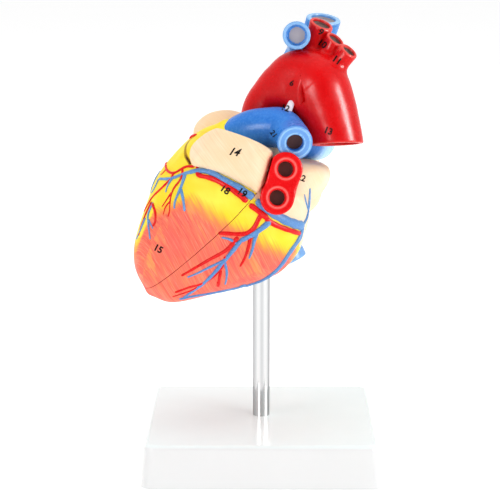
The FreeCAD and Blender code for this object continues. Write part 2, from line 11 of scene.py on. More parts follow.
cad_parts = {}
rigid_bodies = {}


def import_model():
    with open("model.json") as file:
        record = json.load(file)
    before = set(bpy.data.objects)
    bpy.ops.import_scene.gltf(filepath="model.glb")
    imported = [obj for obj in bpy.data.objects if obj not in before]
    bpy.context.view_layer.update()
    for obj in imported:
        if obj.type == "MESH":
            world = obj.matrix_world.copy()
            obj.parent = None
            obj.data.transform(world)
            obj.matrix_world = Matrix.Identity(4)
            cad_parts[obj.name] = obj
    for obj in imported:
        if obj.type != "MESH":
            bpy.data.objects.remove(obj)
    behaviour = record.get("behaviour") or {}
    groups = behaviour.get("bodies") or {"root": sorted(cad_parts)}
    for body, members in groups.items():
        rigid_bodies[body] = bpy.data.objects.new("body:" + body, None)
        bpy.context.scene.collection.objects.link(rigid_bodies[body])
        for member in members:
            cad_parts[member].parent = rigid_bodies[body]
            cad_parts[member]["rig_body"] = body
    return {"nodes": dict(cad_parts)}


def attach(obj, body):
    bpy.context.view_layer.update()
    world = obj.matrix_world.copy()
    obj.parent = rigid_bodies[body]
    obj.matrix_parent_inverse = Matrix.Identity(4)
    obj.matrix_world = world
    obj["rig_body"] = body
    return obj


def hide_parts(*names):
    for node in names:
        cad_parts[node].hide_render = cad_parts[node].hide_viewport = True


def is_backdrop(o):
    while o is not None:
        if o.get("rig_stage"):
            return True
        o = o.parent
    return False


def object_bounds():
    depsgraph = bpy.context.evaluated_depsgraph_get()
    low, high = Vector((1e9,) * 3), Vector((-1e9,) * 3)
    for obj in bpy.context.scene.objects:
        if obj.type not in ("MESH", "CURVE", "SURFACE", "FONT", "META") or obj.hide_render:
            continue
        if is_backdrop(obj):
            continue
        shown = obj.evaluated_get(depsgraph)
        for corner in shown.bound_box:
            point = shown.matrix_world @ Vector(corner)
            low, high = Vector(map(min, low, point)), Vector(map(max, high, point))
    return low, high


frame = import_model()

CAD_BOX = [list(map(float, c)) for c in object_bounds()]
T0 = time.time()
MM = 0.001
STEP = 0.78          # grid step of the heart's surfaces, mm
FINE = 0.55          # grid step of the vessels
np.seterr(all="ignore")


def say(*a):
    print("%6.1fs" % (time.time() - T0), *a, flush=True)


# ------------------------------------------------------------------ small vector helpers (millimetres)
def vec(*p):
    return np.array(p, float)


def unit(v):
    v = np.asarray(v, float)
    return v / np.linalg.norm(v)


O = vec(0, 0, 148)
A = unit([-0.688, -0.188, -0.702])
E1 = vec(-0.69, 0, 0.72)
E1 = unit(E1 - A * (E1 @ A))
E2 = unit(np.cross(E1, A))
if E2[1] < 0:
    E2 = -E2


def at(s, u, w):
    return O + A * s + E1 * u + E2 * w


def smin(a, b, k):
    h = np.maximum(k - np.abs(a - b), 0) / k
    return np.minimum(a, b) - h * h * k * 0.25


def smax(a, b, k):
    return -smin(-a, -b, k)


def noise3(P, f, seed=0.0):
    """A smooth wavy field of sines, about -1 to 1. It is the same in every run."""
    x, y, z = P[:, 0] * f, P[:, 1] * f, P[:, 2] * f
    s = seed
    n = np.sin(x * 1.0 + 1.7 * np.sin(y * 0.73 + s) + s * 2.1) + np.sin(y * 1.13 + 1.5 * np.sin(z * 0.81 + s * 1.3) + 1.2)
    n += np.sin(z * 0.94 + 1.6 * np.sin(x * 0.67 + s * 0.7) + 2.4 + s)
    n += 0.5 * np.sin(x * 2.3 - y * 1.9 + z * 1.1 + s * 3.3)
    return n / 3.5


def catmull(points, per=12, closed=False):
    """A smooth line through points, as many samples per span."""
    p = np.asarray(points, float)
    n = len(p)
    out = []
    spans = n if closed else n - 1
    for i in range(spans):
        if closed:
            p0, p1, p2, p3 = p[(i - 1) % n], p[i], p[(i + 1) % n], p[(i + 2) % n]
        else:
            p1, p2 = p[i], p[i + 1]
            p0 = p[i - 1] if i > 0 else p1 * 2 - p2
            p3 = p[i + 2] if i + 2 < n else p2 * 2 - p1
        d1 = max(np.linalg.norm(p1 - p0), 1e-6) ** 0.5
        d2 = max(np.linalg.norm(p2 - p1), 1e-6) ** 0.5
        d3 = max(np.linalg.norm(p3 - p2), 1e-6) ** 0.5
        m1 = (p2 - p1) + d2 * ((p1 - p0) / d1 - (p2 - p0) / (d1 + d2))
        m2 = (p2 - p1) + d2 * ((p3 - p2) / d3 - (p3 - p1) / (d2 + d3))
        t = np.arange(per)[:, None] / per
        out.append((2 * t ** 3 - 3 * t ** 2 + 1) * p1 + (t ** 3 - 2 * t ** 2 + t) * m1 + (-2 * t ** 3 + 3 * t ** 2) * p2 + (t ** 3 - t ** 2) * m2)
    if not closed:
        out.append(p[-1:])
    return np.concatenate(out)


# ------------------------------------------------------------------ fields: negative inside, about millimetres
def f_ellipsoid(c, r, axes=None):
    c, r = np.asarray(c, float), np.asarray(r, float)
    M = np.array(axes) if axes is not None else np.eye(3)

    def f(P):
        q = (P - c) @ M.T
        k0 = np.linalg.norm(q / r, axis=1)
        k1 = np.linalg.norm(q / (r * r), axis=1)
        return k0 * (k0 - 1) / np.maximum(k1, 1e-9)
    return f


def f_tube(path, radii, per=10, squash=None):
    """A bar through path with a radius at each point. squash = (direction, factor) flattens its section."""
    p = catmull(np.column_stack([np.asarray(path, float), np.asarray(radii, float)]), per)
    c, r = p[:, :3], p[:, 3]
    a, b = c[:-1], c[1:]
    d = b - a
    ll = (d * d).sum(1)

    def f(P):
        best = np.full(len(P), 1e9)
        for i in range(len(a)):
            q = P - a[i]
            t = np.clip(q @ d[i] / ll[i], 0, 1)
            q = q - t[:, None] * d[i]
            if squash is not None:
                k = q @ squash[0]
                q = q + np.outer(k * (squash[1] - 1), squash[0])
            v = np.sqrt((q * q).sum(1)) - (r[i] + t * (r[i + 1] - r[i]))
            np.minimum(best, v, out=best)
        return best
    return f


def f_plane(n, p):
    """Negative on the side that n points away from."""
    n = unit(n)
    k = float(np.dot(n, p))
    return lambda P: P @ n - k


def f_cyl(c, d, r, h0, h1, k=0.0):
    """A cylinder round the axis through c along d, from h0 to h1."""
    d = unit(d)
    c = np.asarray(c, float)

    def f(P):
        q = P - c
        z = q @ d
        rad = np.linalg.norm(q - np.outer(z, d), axis=1) - r
        end = np.maximum(z - h1, h0 - z)
        return np.maximum(rad, end) if k == 0 else smax(rad, end, k)
    return f


# ------------------------------------------------------------------ solids from fields
class Leaf:
    def __init__(self, fn):
        self.fn = fn

    def val(self, P):
        return self.fn(P)

    def lab(self, P, ids):
        return self.fn(P), np.full(len(P), ids[id(self)], np.int64)

    def leaves(self):
        return [self]


class Both:
    """Intersection (sign 1) or union (sign -1) with a crisp edge."""
    def __init__(self, sign, *parts):
        self.sign, self.parts = sign, parts

    def val(self, P):
        v = self.parts[0].val(P)
        for q in self.parts[1:]:
            v = np.maximum(v, q.val(P)) if self.sign > 0 else np.minimum(v, q.val(P))
        return v

    def lab(self, P, ids):
        v, l = self.parts[0].lab(P, ids)
        for q in self.parts[1:]:
            w, m = q.lab(P, ids)
            take = w > v if self.sign > 0 else w < v
            v, l = np.where(take, w, v), np.where(take, m, l)
        return v, l

    def leaves(self):
        return [x for q in self.parts for x in q.leaves()]


def inter(*p):
    return Both(1, *p)


def union(*p):
    return Both(-1, *p)


def leaf(fn):
    return Leaf(fn)


def minus(fn):
    return Leaf(lambda P: -fn(P))


CORNER = np.array([(i, j, k) for i in (0, 1) for j in (0, 1) for k in (0, 1)])
EDGES = [(a, b) for a in range(8) for b in range(a + 1, 8) if np.abs(CORNER[a] - CORNER[b]).sum() == 1]


def chunks(fn, P, size=300000):
    return np.concatenate([fn(P[i:i + size]) for i in range(0, len(P), size)]) if len(P) else np.zeros(0)


def polygonise(solid, lo, hi, h, reach=2.2):
    """Vertices (mm) and quads of the solid's surface. Creases between leaves stay crisp."""
    lo, hi = np.asarray(lo, float), np.asarray(hi, float)
    B = 8
    nb = np.ceil((hi - lo) / (B * h)).astype(int)
    bi = np.stack(np.meshgrid(*[np.arange(n) for n in nb], indexing="ij"), -1).reshape(-1, 3)
    v = chunks(solid.val, lo + (bi + 0.5) * B * h)
    live = np.abs(v) < B * h * 0.5 * math.sqrt(3) * reach
    sign = np.where(v < 0, -1.0, 1.0).reshape(nb)
    F = np.repeat(np.repeat(np.repeat(sign, B, 0), B, 1), B, 2)
    F = np.pad(F, ((0, 1),) * 3, mode="edge") * 9.0
    off = np.stack(np.meshgrid(*[np.arange(B + 1)] * 3, indexing="ij"), -1).reshape(-1, 3)
    act = bi[live]
    for i in range(0, len(act), 400):
        g = (act[i:i + 400, None, :] * B + off[None]).reshape(-1, 3)
        F[g[:, 0], g[:, 1], g[:, 2]] = solid.val(lo + g * h)
    for ax in range(3):                      # the outer layer is always outside, so the mesh closes
        sl = [slice(None)] * 3
        for e in (0, -1):
            sl[ax] = e
            F[tuple(sl)] = np.maximum(F[tuple(sl)], 0.01)
    F[F == 0] = 1e-6
    ins = F < 0
    nx, ny, nz = F.shape
    cnt = np.zeros((nx - 1, ny - 1, nz - 1), np.int8)
    for c in CORNER:
        cnt += ins[c[0]:nx - 1 + c[0], c[1]:ny - 1 + c[1], c[2]:nz - 1 + c[2]]
    cells = np.argwhere((cnt > 0) & (cnt < 8))
    n = len(cells)
    idx = np.full((nx - 1, ny - 1, nz - 1), -1, np.int64)
    idx[cells[:, 0], cells[:, 1], cells[:, 2]] = np.arange(n)
    vals = np.stack([F[cells[:, 0] + c[0], cells[:, 1] + c[1], cells[:, 2] + c[2]] for c in CORNER], 1)
    base = lo + cells * h
    acc = np.zeros((n, 3)); num = np.zeros(n)
    bits = np.zeros(n, np.int64)
    lv = solid.leaves()
    ids = {}
    for q in lv:
        ids.setdefault(id(q), len(ids))
    uniq = [None] * len(ids)
    for q in lv:
        uniq[ids[id(q)]] = q
    for a, b in EDGES:
        m = (vals[:, a] < 0) != (vals[:, b] < 0)
        t = vals[m, a] / (vals[m, a] - vals[m, b])
        p = base[m] + (CORNER[a] + t[:, None] * (CORNER[b] - CORNER[a])) * h
        acc[m] += p
        num[m] += 1
        if len(uniq) > 1:
            bits[m] |= 1 << solid.lab(p, ids)[1]
    pos = acc / num[:, None]
    start = pos.copy()
    if len(uniq) == 1:
        bits[:] = 1
    eps = 0.05

    def grad(fn, p):
        return np.stack([chunks(fn, p + e) - chunks(fn, p - e) for e in np.eye(3) * eps], 1) / (2 * eps)

    for bit in np.unique(bits):
        who = [uniq[i].fn for i in range(len(uniq)) if bit >> i & 1]
        sel = np.nonzero(bits == bit)[0]
        for _ in range(3):
            p = pos[sel]
            f = np.stack([chunks(w, p) for w in who], 1)
            J = np.stack([grad(w, p) for w in who], 1)
            JJ = J @ J.transpose(0, 2, 1) + np.eye(len(who)) * (1e-6 if len(who) == 1 else 2e-3)
            x = np.linalg.solve(JJ, f[:, :, None])
            d = -(J.transpose(0, 2, 1) @ x)[:, :, 0]
            L = np.linalg.norm(d, axis=1, keepdims=True)
            pos[sel] = p + d * np.minimum(1, 0.7 * h / np.maximum(L, 1e-9))
    d = pos - start
    L = np.linalg.norm(d, axis=1, keepdims=True)
    pos = start + d * np.minimum(1, 1.1 * h / np.maximum(L, 1e-9))
    quads = []
    for ax in range(3):
        o1, o2 = [x for x in range(3) if x != ax]
        hi_ = [slice(1, -1)] * 3
        hi_[ax] = slice(0, -1)
        nxt = [slice(1, -1)] * 3
        nxt[ax] = slice(1, None)
        s0, s1 = ins[tuple(hi_)], ins[tuple(nxt)]
        g = np.argwhere(s0 != s1) + 1
        g[:, ax] -= 1
        q = []
        for da, db in ((-1, -1), (0, -1), (0, 0), (-1, 0)):
            c = g.copy()
            c[:, o1] += da
            c[:, o2] += db
            q.append(idx[c[:, 0], c[:, 1], c[:, 2]])
        q = np.stack(q, 1)
        flip = ins[g[:, 0], g[:, 1], g[:, 2]]
        if ax == 1:
            flip = ~flip
        q[~flip] = q[~flip][:, ::-1]
        quads.append(q)
    quads = np.concatenate(quads)
    quads = quads[(quads >= 0).all(1)]
    return pos, quads


def largest_part(pos, quads):
    """Drops the crumbs: keeps the one connected piece with the most faces."""
    n = len(pos)
    lab = np.arange(n)
    for _ in range(400):
        m = lab[quads].min(1)
        new = lab.copy()
        np.minimum.at(new, quads.ravel(), np.repeat(m, 4))
        new = new[new]
        if (new == lab).all():
            break
        lab = new
    root = lab[quads[:, 0]]
    ids, c = np.unique(root, return_counts=True)
    quads = quads[root == ids[c.argmax()]]
    used = np.unique(quads)
    remap = np.full(n, -1)
    remap[used] = np.arange(len(used))
    return pos[used], remap[quads]


def mesh_object(name, pos, faces, body, sharp=38.0, tris=False):
    me = bpy.data.meshes.new(name)
    pos = np.asarray(pos, float) * MM
    if isinstance(faces, np.ndarray):
        k = faces.shape[1]
        me.vertices.add(len(pos))
        me.vertices.foreach_set("co", pos.astype(np.float32).ravel())
        me.loops.add(faces.size)
        me.loops.foreach_set("vertex_index", faces.astype(np.int32).ravel())
        me.polygons.add(len(faces))
        me.polygons.foreach_set("loop_start", (np.arange(len(faces)) * k).astype(np.int32))
        me.update(calc_edges=True)
        me.validate()
    else:
        me.from_pydata([tuple(p) for p in pos], [], faces)
        me.validate()
    me.shade_smooth()
    if sharp is not None:
        me.set_sharp_from_angle(angle=math.radians(sharp))
    ob = bpy.data.objects.new(name, me)
    bpy.context.scene.collection.objects.link(ob)
    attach(ob, body)
    return ob


def put(ob, name, values):
    """A number at each vertex, for the shader."""
    a = ob.data.attributes.new(name, "FLOAT", "POINT")
    a.data.foreach_set("value", np.asarray(values, np.float32))


def points_of(ob):
    co = np.zeros(len(ob.data.vertices) * 3, np.float32)
    ob.data.vertices.foreach_get("co", co)
    return co.reshape(-1, 3).astype(float) / MM


def build(name, solid, lo, hi, h, body, crumbs=True, sharp=38.0):
    pos, quads = polygonise(solid, lo, hi, h)
    if crumbs:
        pos, quads = largest_part(pos, quads)
    ob = mesh_object(name, pos, quads, body, sharp)
    say(name, len(ob.data.vertices), "vertices")
    return ob


# ------------------------------------------------------------------ camera (the photograph's frame is 500 by 500)
F_PX = 1930.0
CAM = vec(1.9, -976.8, 298.5)
PITCH, YAW = 0.191, 0.008
R_ = vec(math.cos(YAW), math.sin(YAW), 0)
W0 = vec(-math.sin(YAW), math.cos(YAW), 0)
D_ = W0 * math.cos(PITCH) + vec(0, 0, -1) * math.sin(PITCH)
U_ = W0 * math.sin(PITCH) + vec(0, 0, 1) * math.cos(PITCH)


def ray(u, v):
    """Direction of the sight line through a place in the frame."""
    return unit(D_ * F_PX + R_ * (u - 250.0) - U_ * (v - 250.0))


def camera():
    cam = bpy.data.cameras.new("camera")
    cam.sensor_width = 36.0
    cam.lens = F_PX / 500.0 * 36.0
    cam.clip_start, cam.clip_end = 0.05, 60.0
    ob = bpy.data.objects.new("camera", cam)
    bpy.context.scene.collection.objects.link(ob)
    m = Matrix(((R_[0], U_[0], -D_[0]), (R_[1], U_[1], -D_[1]), (R_[2], U_[2], -D_[2])))
    ob.matrix_world = Matrix.Translation(Vector(CAM * MM)) @ m.to_4x4()
    bpy.context.scene.camera = ob


camera()

# ------------------------------------------------------------------ forms of the heart
STATION = np.array([-16, -12, -6, 0, 6, 12, 20, 30, 40, 50, 60, 70, 76, 80, 82.4], float)
FRONT_W = np.array([8.0, 18, 29, 36.0, 39.4, 41.2, 42.2, 41.2, 38.0, 33.3, 28.4, 23.0, 17.6, 12.0, 6.2])
BACK_W = np.array([8.0, 19, 28, 33.5, 37.2, 41.2, 43.2, 41.7, 36.2, 29.8, 23.8, 17.6, 13.4, 9.4, 4.9])
LEFT_W = np.array([8.0, 20, 30, 36, 39, 41, 42, 41, 38, 33.5, 28, 21.5, 16.2, 11.0, 5.6])
RIGHT_W = np.array([8.0, 22, 32, 38, 41.5, 43, 43.5, 41.5, 37, 31, 25, 18.5, 13.8, 9.6, 5.0])
LOBE_P = 2.15


def table(w):
    """A smooth table of a half width along the axis, on a fine even grid from -17 to 85."""
    s = np.linspace(-17.0, 85.0, 409)
    p = catmull(np.column_stack([STATION, w]), 16)
    t = np.interp(s, p[:, 0], p[:, 1])
    for _ in range(6):
        t[1:-1] = 0.25 * t[:-2] + 0.5 * t[1:-1] + 0.25 * t[2:]
    return t


TAB_S = np.linspace(-17.0, 85.0, 409)
T_FRONT, T_BACK, T_LEFT, T_RIGHT = (table(w) for w in (FRONT_W, BACK_W, LEFT_W, RIGHT_W))


def heart_coords(P):
    q = P - O
    return q @ A, q @ E1, q @ E2


def f_ventricles(P):
    s, u, w = heart_coords(P)
    a = np.where(u > 0, np.interp(s, TAB_S, T_FRONT), np.interp(s, TAB_S, T_BACK))
    b = np.where(w > 0, np.interp(s, TAB_S, T_RIGHT), np.interp(s, TAB_S, T_LEFT))
    g = (np.abs(u / a) ** LOBE_P + np.abs(w / b) ** LOBE_P) ** (1 / LOBE_P)
    rho = np.sqrt(u * u + w * w)
    v = rho - rho / np.maximum(g, 1e-6)
    v = np.where(rho < 1e-6, -np.minimum(a, b), v)
    return smax(smax(v, s - 83.6, 7.0), -16.0 - s, 4.0)


f_conus = f_tube([(-40, 7, 139), (-33, 3, 151.5), (-26, -2, 161.0), (-15.8, -8.0, 168.8)], [14.8, 11.2, 9.8, 9.8])
f_atrium_ball = f_ellipsoid((16.5, -8, 153), (18.8, 27, 17.5))
f_atrium_roof = f_plane([0.20, 0.06, 0.978], vec(24.5, -5, 156.8))


def f_left_atrium(P):
    return smax(f_atrium_ball(P), np.where(P[:, 0] > 4, f_atrium_roof(P), f_atrium_roof(P) - (4 - P[:, 0]) * 0.9), 5.0)


f_right_atrium = f_ellipsoid((9.5, 27, 147.5), (21, 17, 26))
f_crux = f_ellipsoid((13, 5, 139.3), (18.0, 27, 14))


CREASES = []                            # lines pressed into the surface: places and a radius


def dist_line(P, line):
    best = np.full(len(P), 1e9)
    for a, b in zip(line[:-1], line[1:]):
        d = b - a
        t = np.clip((P - a) @ d / (d @ d), 0, 1)
        np.minimum(best, np.linalg.norm(P - a - t[:, None] * d, axis=1), out=best)
    return best


def f_heart(P):
    v = smin(f_ventricles(P), f_conus(P), 5.0)
    a = smin(smin(f_left_atrium(P), f_right_atrium(P), 5.0), f_crux(P), 5.0)
    v = smin(v, a, 2.2)
    x, y, z = P[:, 0] - 22, P[:, 1] - 5, P[:, 2] - 104
    v = v + 4.6 * np.exp(-(x * x + 0.3 * y * y + z * z * 0.7) / 240.0)
    x, y, z = P[:, 0] + 46, P[:, 1] - 4, P[:, 2] - 161
    v = v + 2.2 * np.exp(-(x * x + 0.5 * y * y + z * z) / 260.0)
    for g_, r_ in CREASES:
        m = ((P > g_.min(0) - 3) & (P < g_.max(0) + 3)).all(1)
        if m.any():
            v[m] = smax(v[m], r_ - dist_line(P[m], g_), 0.5)
    return v - 0.22 * noise3(P, 0.16) - 0.10 * noise3(P, 0.41, 1.0)


def on_form(places):
    """Where the sight lines through places in the frame first meet the heart's form."""
    out = []
    for u, v in places:
        d = ray(u, v)
        t = np.arange(860.0, 1040.0, 0.5)
        f = f_heart(CAM + t[:, None] * d)
        k = np.argmax(f < 0)
        if f[k] < 0:
            out.append(CAM + t[k] * d)
    return np.array(out)


crease = catmull(on_form([(194.5, 136.5), (190, 140), (187, 144), (185.3, 150), (186.4, 156.5), (190.5, 163.5)]), 8)

NA = unit([-0.7065, -0.1329, 0.6951]); DA = 108.9
NB = unit([0.367, 0.309, 0.877]); PB = vec(-33.5, 2.0, 169.5)
NC = unit([0.958, 0.0, -0.287]); PC = vec(2.0, -38.0, 152.0)
PULL = unit([-0.80, -0.58, 0.14])
GAP = 0.30

f_lv = f_ellipsoid(at(33, 3, -18.5), (30, 19.5, 13.4), (A, E1, E2))
f_rv = f_ellipsoid(at(26, 8, 21.0), (26, 20.0, 12.5), (A, E1, E2))
f_conus_room = f_tube([at(20, 17, 18), (-30, 3.0, 151), (-22, -4.4, 163.2), (-11.5, -10.2, 171.6)], [9.4, 8.8, 7.6, 6.9], 4)
f_vestibule = f_tube([at(18, 6, -13), at(7, 6, -6), (-1.2, 5.0, 160), (-0.8, 5.5, 168)], [8.6, 8.2, 7.8, 7.8], 4)
MITRAL_C, TRICUSPID_C = at(3.0, -8, -18.5), at(1.5, -4.5, 22.0)
f_mitral_hole = f_cyl(MITRAL_C, A, 10.5, -9.0, 11.0, 1.0)
f_tricuspid_hole = f_cyl(TRICUSPID_C, A, 11.0, -9.0, 11.0, 1.0)


def trabeculae(P, amount, cuts):
    """Ridges that run along the axis on a chamber's wall, fading towards the valve."""
    s, u, w = heart_coords(P)
    th = np.arctan2(w + (18.5 if cuts < 0 else -21.0), u - 4)
    r = np.sin(th * 9 + 0.9 * np.sin(s * 0.21) + 0.6 * np.sin(s * 0.5 + th * 3)) * 0.6 + 0.4 * np.sin(th * 17 + s * 0.33 + 1.3 * np.sin(s * 0.17))
    cross = np.abs(np.sin(s * 0.42 + 1.5 * np.sin(th * 2.0))) ** 6
    fade = np.clip((s - 12) / 18, 0, 1)
    return amount * fade * (np.maximum(r, -0.4) + 0.8 * cross)


def f_left_rooms(P):
    return smin(f_lv(P) + trabeculae(P, 0.75, -1), f_vestibule(P), 2.0)


def f_right_rooms(P):
    return smin(f_rv(P) + trabeculae(P, 0.85, 1), f_conus_room(P), 2.0)


def on_cut(s_, w_):
    p = at(s_, 0, w_)
    return p + E1 * ((DA - NA @ p) / (NA @ E1))


MAGNETS = [on_cut(*q) for q in ((73.5, -1.0), (36.0, 2.4), (20.0, -37.3), (20.0, 39.6))]


def f_magnets(P):
    v = np.full(len(P), 1e9)
    for c in MAGNETS:
        v = np.minimum(v, f_cyl(c, NA, 3.04, -2.6, 2.3)(P))
    return v


# the rod's sleeve
def f_sleeve(P):
    return np.maximum(np.hypot(P[:, 0], P[:, 1]) - 6.02, P[:, 2] - 124.02)


# ------------------------------------------------------------------ great vessels
def tube_end(fn, p, d, k=0.7):
    """The tube fn, ended flat at p with a softly rounded rim. d points out of the tube."""
    pl = f_plane(d, p)
    d = unit(d)

    def f(P):
        q = P - p
        near = np.linalg.norm(q - np.outer(q @ d, d), axis=1) < 26
        far = (q @ d) < -14
        e = np.where(near & ~far, pl(P), -14.0)
        return smax(fn(P), e, k)
    return f


def lumen(p, d, r, depth, flare=0.35):
    """A blind round hole at a vessel's end, with a softly broken edge."""
    d = unit(d)
    p = np.asarray(p, float)

    def f(P):
        q = P - p
        z = q @ d
        rad = np.linalg.norm(q - np.outer(z, d), axis=1)
        r_ = r + flare * np.clip(1 + z / 0.9, 0, 1) ** 2
        return smax(rad - r_, np.maximum(-depth - z, z - 6.0), 0.35)
    return f


AORTA_PATH = [(-1, 5.5, 166), (-0.3, 5.2, 174), (0.8, 4.4, 182), (4.4, 2.4, 189.4), (10.8, -0.2, 195.6), (16.9, -2.2, 200.2), (23.6, -4.0, 199.2),
              (28.2, -5.8, 194.4), (31.8, -8.0, 186), (35.0, -10.4, 176.5), (38.1, -13.2, 166.4)]
AORTA_R = [10.8, 10.9, 10.5, 9.8, 9.7, 10.6, 12.2, 14.3, 15.3, 14.4, 13.2]
JOIN_P, JOIN_N = vec(22.3, -20.0, 188.5), unit([0.96, 0.20, 0.19])
DESC_END, DESC_DIR = vec(38.2, -13.2, 166.4), unit([0.04, -0.2, -0.98])
TRUNKS = [  # path, radii, direction, lumen
    ([(22.5, 2.6, 203), (26.5, 5.8, 213), (30.5, 8.0, 225.3)], [6.4, 4.9, 6.2], unit([0.36, -0.30, 0.88]), 4.5),
    ([(29, -1.5, 203), (33.2, -0.6, 210.5), (37.4, 0.2, 218.2)], [5.6, 4.4, 5.1], unit([0.54, -0.34, 0.77]), 3.6),
    ([(33, -5.5, 198), (38.5, -5.8, 205.5), (44.0, -6.0, 212.9)], [5.6, 4.7, 5.0], unit([0.58, -0.34, 0.74]), 3.4)]
PT_PATH = [(-17.5, -7.2, 168.0), (-12.0, -9.8, 171.2), (-6.0, -13.0, 173.6), (2.5, -15.5, 175.2), (9.5, -17.5, 175.0), (14.6, -26.0, 172.4), (16.5, -38.5, 170.4)]
PT_R = [9.6, 10.0, 10.0, 9.9, 10.0, 8.8, 8.8]
LPA_END, LPA_DIR = vec(16.5, -38.5, 170.4), unit([0.12, -0.97, -0.16])
RPA_PATH = [(8.5, -14.0, 175.2), (17.0, -4.0, 169.6), (24.5, 8.0, 164.0), (29.2, 21, 162.2), (31, 37, 163.6)]
RPA_R = [8.2, 7.8, 8.3, 8.4, 8.7]
RPA_END, RPA_DIR = vec(31, 37, 164.0), unit([0.12, 0.98, -0.1])
SVC_PATH = [(7.0, 28, 163), (8.0, 28, 178), (12.0, 27.0, 192), (19.4, 25.5, 205), (28.0, 24.0, 216), (31.9, 22, 227)]
SVC_R = [9.8, 9.2, 8.7, 8.6, 8.6, 8.9]
SVC_END, SVC_DIR = vec(31.9, 22, 227), unit([0.14, -0.24, 0.96])
LBV_PATH = [(21.5, 25.0, 207.5), (18.8, 15.5, 215.5), (17.4, 5.0, 219.6), (17.4, -10.5, 220.8)]
LBV_R = [7.2, 6.2, 6.2, 7.05]
LBV_END, LBV_DIR = vec(17.4, -10.5, 220.8), unit([-0.1, -0.98, 0.05])
IVC_PATH = [(8.3, 27, 128), (9.0, 27, 119), (11.0, 26.5, 107.8), (14.5, 26, 98.3)]
IVC_R = [10.6, 9.8, 9.6, 10.1]
IVC_END, IVC_DIR = vec(14.5, 26, 98.3), unit([0.42, -0.05, -0.905])


def longer(path, radii, start=True, end=True, by=4.0):
    """The same bar with its line drawn on past its ends, so that a flat cut closes it."""
    p = [np.asarray(q, float) for q in path]
    r = list(radii)
    if end:
        p.append(p[-1] + unit(p[-1] - p[-2]) * by)
        r.append(r[-1] + (r[-1] - r[-2]) * 0.3)
    if start:
        p.insert(0, p[0] - unit(p[1] - p[0]) * by)
        r.insert(0, r[0])
    return p, r


def ended(path, radii, p, d, k=0.7, by=6.0):
    """A bar whose far end is a flat cut at p."""
    d = unit(d)
    path = [np.asarray(q, float) for q in path] + [np.asarray(p, float) + d * by]
    return tube_end(f_tube(path, list(radii) + [radii[-1]]), np.asarray(p, float), d, k)


def vein_block(p_up, p_low, out, shift, r):
    out = unit(out)
    p_up, p_low = np.asarray(p_up, float), np.asarray(p_low, float)
    mid = (p_up + p_low) / 2
    one = [f_tube([p - out * shift + (mid - p) * 0.18, p - out * shift * 0.45, p, p + out * 6], [r * 1.08, r * 0.98, r, r]) for p in (p_up, p_low)]
    br = f_tube([mid - out * shift, mid - out * shift * 0.5, mid - out * 0.25, mid + out * 6], [r * 1.0, r * 0.93, r * 0.80, r * 0.78])
    pl = f_plane(out, p_up)

    def f(P):
        v = smin(smin(one[0](P), one[1](P), 2.5), br(P), 4.5)
        return smax(v, pl(P), 1.0)
    return f


# ------------------------------------------------------------------ shader graphs
def rgb(r, g, b, a=1.0):
    """A colour given as on a screen, 0 to 255."""
    f = lambda c: c / 12.92 if c <= 0.04045 else ((c + 0.055) / 1.055) ** 2.4
    return (f(r / 255), f(g / 255), f(b / 255), a)


class Graph:
    def __init__(self, name):
        self.mat = bpy.data.materials.new(name)
        self.mat.use_nodes = True
        self.t = self.mat.node_tree
        self.t.nodes.clear()
        self.out = self.t.nodes.new("ShaderNodeOutputMaterial")
        self.b = self.t.nodes.new("ShaderNodeBsdfPrincipled")
        self.link(self.b.outputs["BSDF"], self.out.inputs["Surface"])

    def link(self, a, b):
        self.t.links.new(a, b)

    def node(self, kind, inputs=(), **props):
        n = self.t.nodes.new("ShaderNode" + kind)
        for k, v in props.items():
            setattr(n, k, v)
        for k, v in dict(inputs).items():
            s = n.inputs[k]
            if isinstance(v, bpy.types.NodeSocket):
                self.link(v, s)
            else:
                s.default_value = v
        return n

    def attr(self, name):
        return self.node("Attribute", attribute_name=name).outputs["Fac"]

    def object(self):
        return self.node("TexCoord").outputs["Object"]

    def math(self, op, a, b=0.0, c=0.0, clamp=False):
        return self.node("Math", {0: a, 1: b, 2: c}, operation=op, use_clamp=clamp).outputs[0]

    def noise(self, vector, scale, detail=2.0, rough=0.5, distort=0.0):
        n = self.node("TexNoise", {"Scale": scale, "Detail": detail, "Roughness": rough, "Distortion": distort})
        self.link(vector, n.inputs["Vector"])
        return n.outputs["Fac"]

    def combine(self, x, y, z):
        return self.node("CombineXYZ", {0: x, 1: y, 2: z}).outputs[0]

    def scaled(self, vector, x, y, z):
        return self.node("VectorMath", {0: vector, 1: (x, y, z)}, operation="MULTIPLY").outputs[0]

    def mix(self, fac, a, b):
        n = self.node("Mix", data_type="RGBA")
        for s, v in ((n.inputs[0], fac), (n.inputs[6], a), (n.inputs[7], b)):
            if isinstance(v, bpy.types.NodeSocket):
                self.link(v, s)
            else:
                s.default_value = v
        return n.outputs[2]

    def step(self, v, lo, hi):
        """0 below lo, 1 above hi, smooth between."""
        n = self.node("MapRange", {"Value": v, "From Min": lo, "From Max": hi, "To Min": 0.0, "To Max": 1.0}, interpolation_type="SMOOTHSTEP")
        return n.outputs["Result"]

    def span(self, v, lo, hi, a, b):
        n = self.node("MapRange", {"Value": v, "From Min": lo, "From Max": hi, "To Min": a, "To Max": b})
        return n.outputs["Result"]

    def ramp(self, fac, *stops):
        n = self.node("ValToRGB", {0: fac})
        e = n.color_ramp.elements
        while len(e) < len(stops):
            e.new(0.5)
        for i, (p, c) in enumerate(stops):
            e[i].position = p
            e[i].color = c
        return n.outputs[0]

    def bump(self, height, strength, distance, normal=None):
        n = self.node("Bump", {"Strength": strength, "Distance": distance, "Height": height})
        if normal is not None:
            self.link(normal, n.inputs["Normal"])
        return n.outputs["Normal"]

    def set(self, **k):
        for key, v in k.items():
            s = self.b.inputs[key.replace("_", " ")]
            if isinstance(v, bpy.types.NodeSocket):
                self.link(v, s)
            else:
                s.default_value = v
        return self.mat


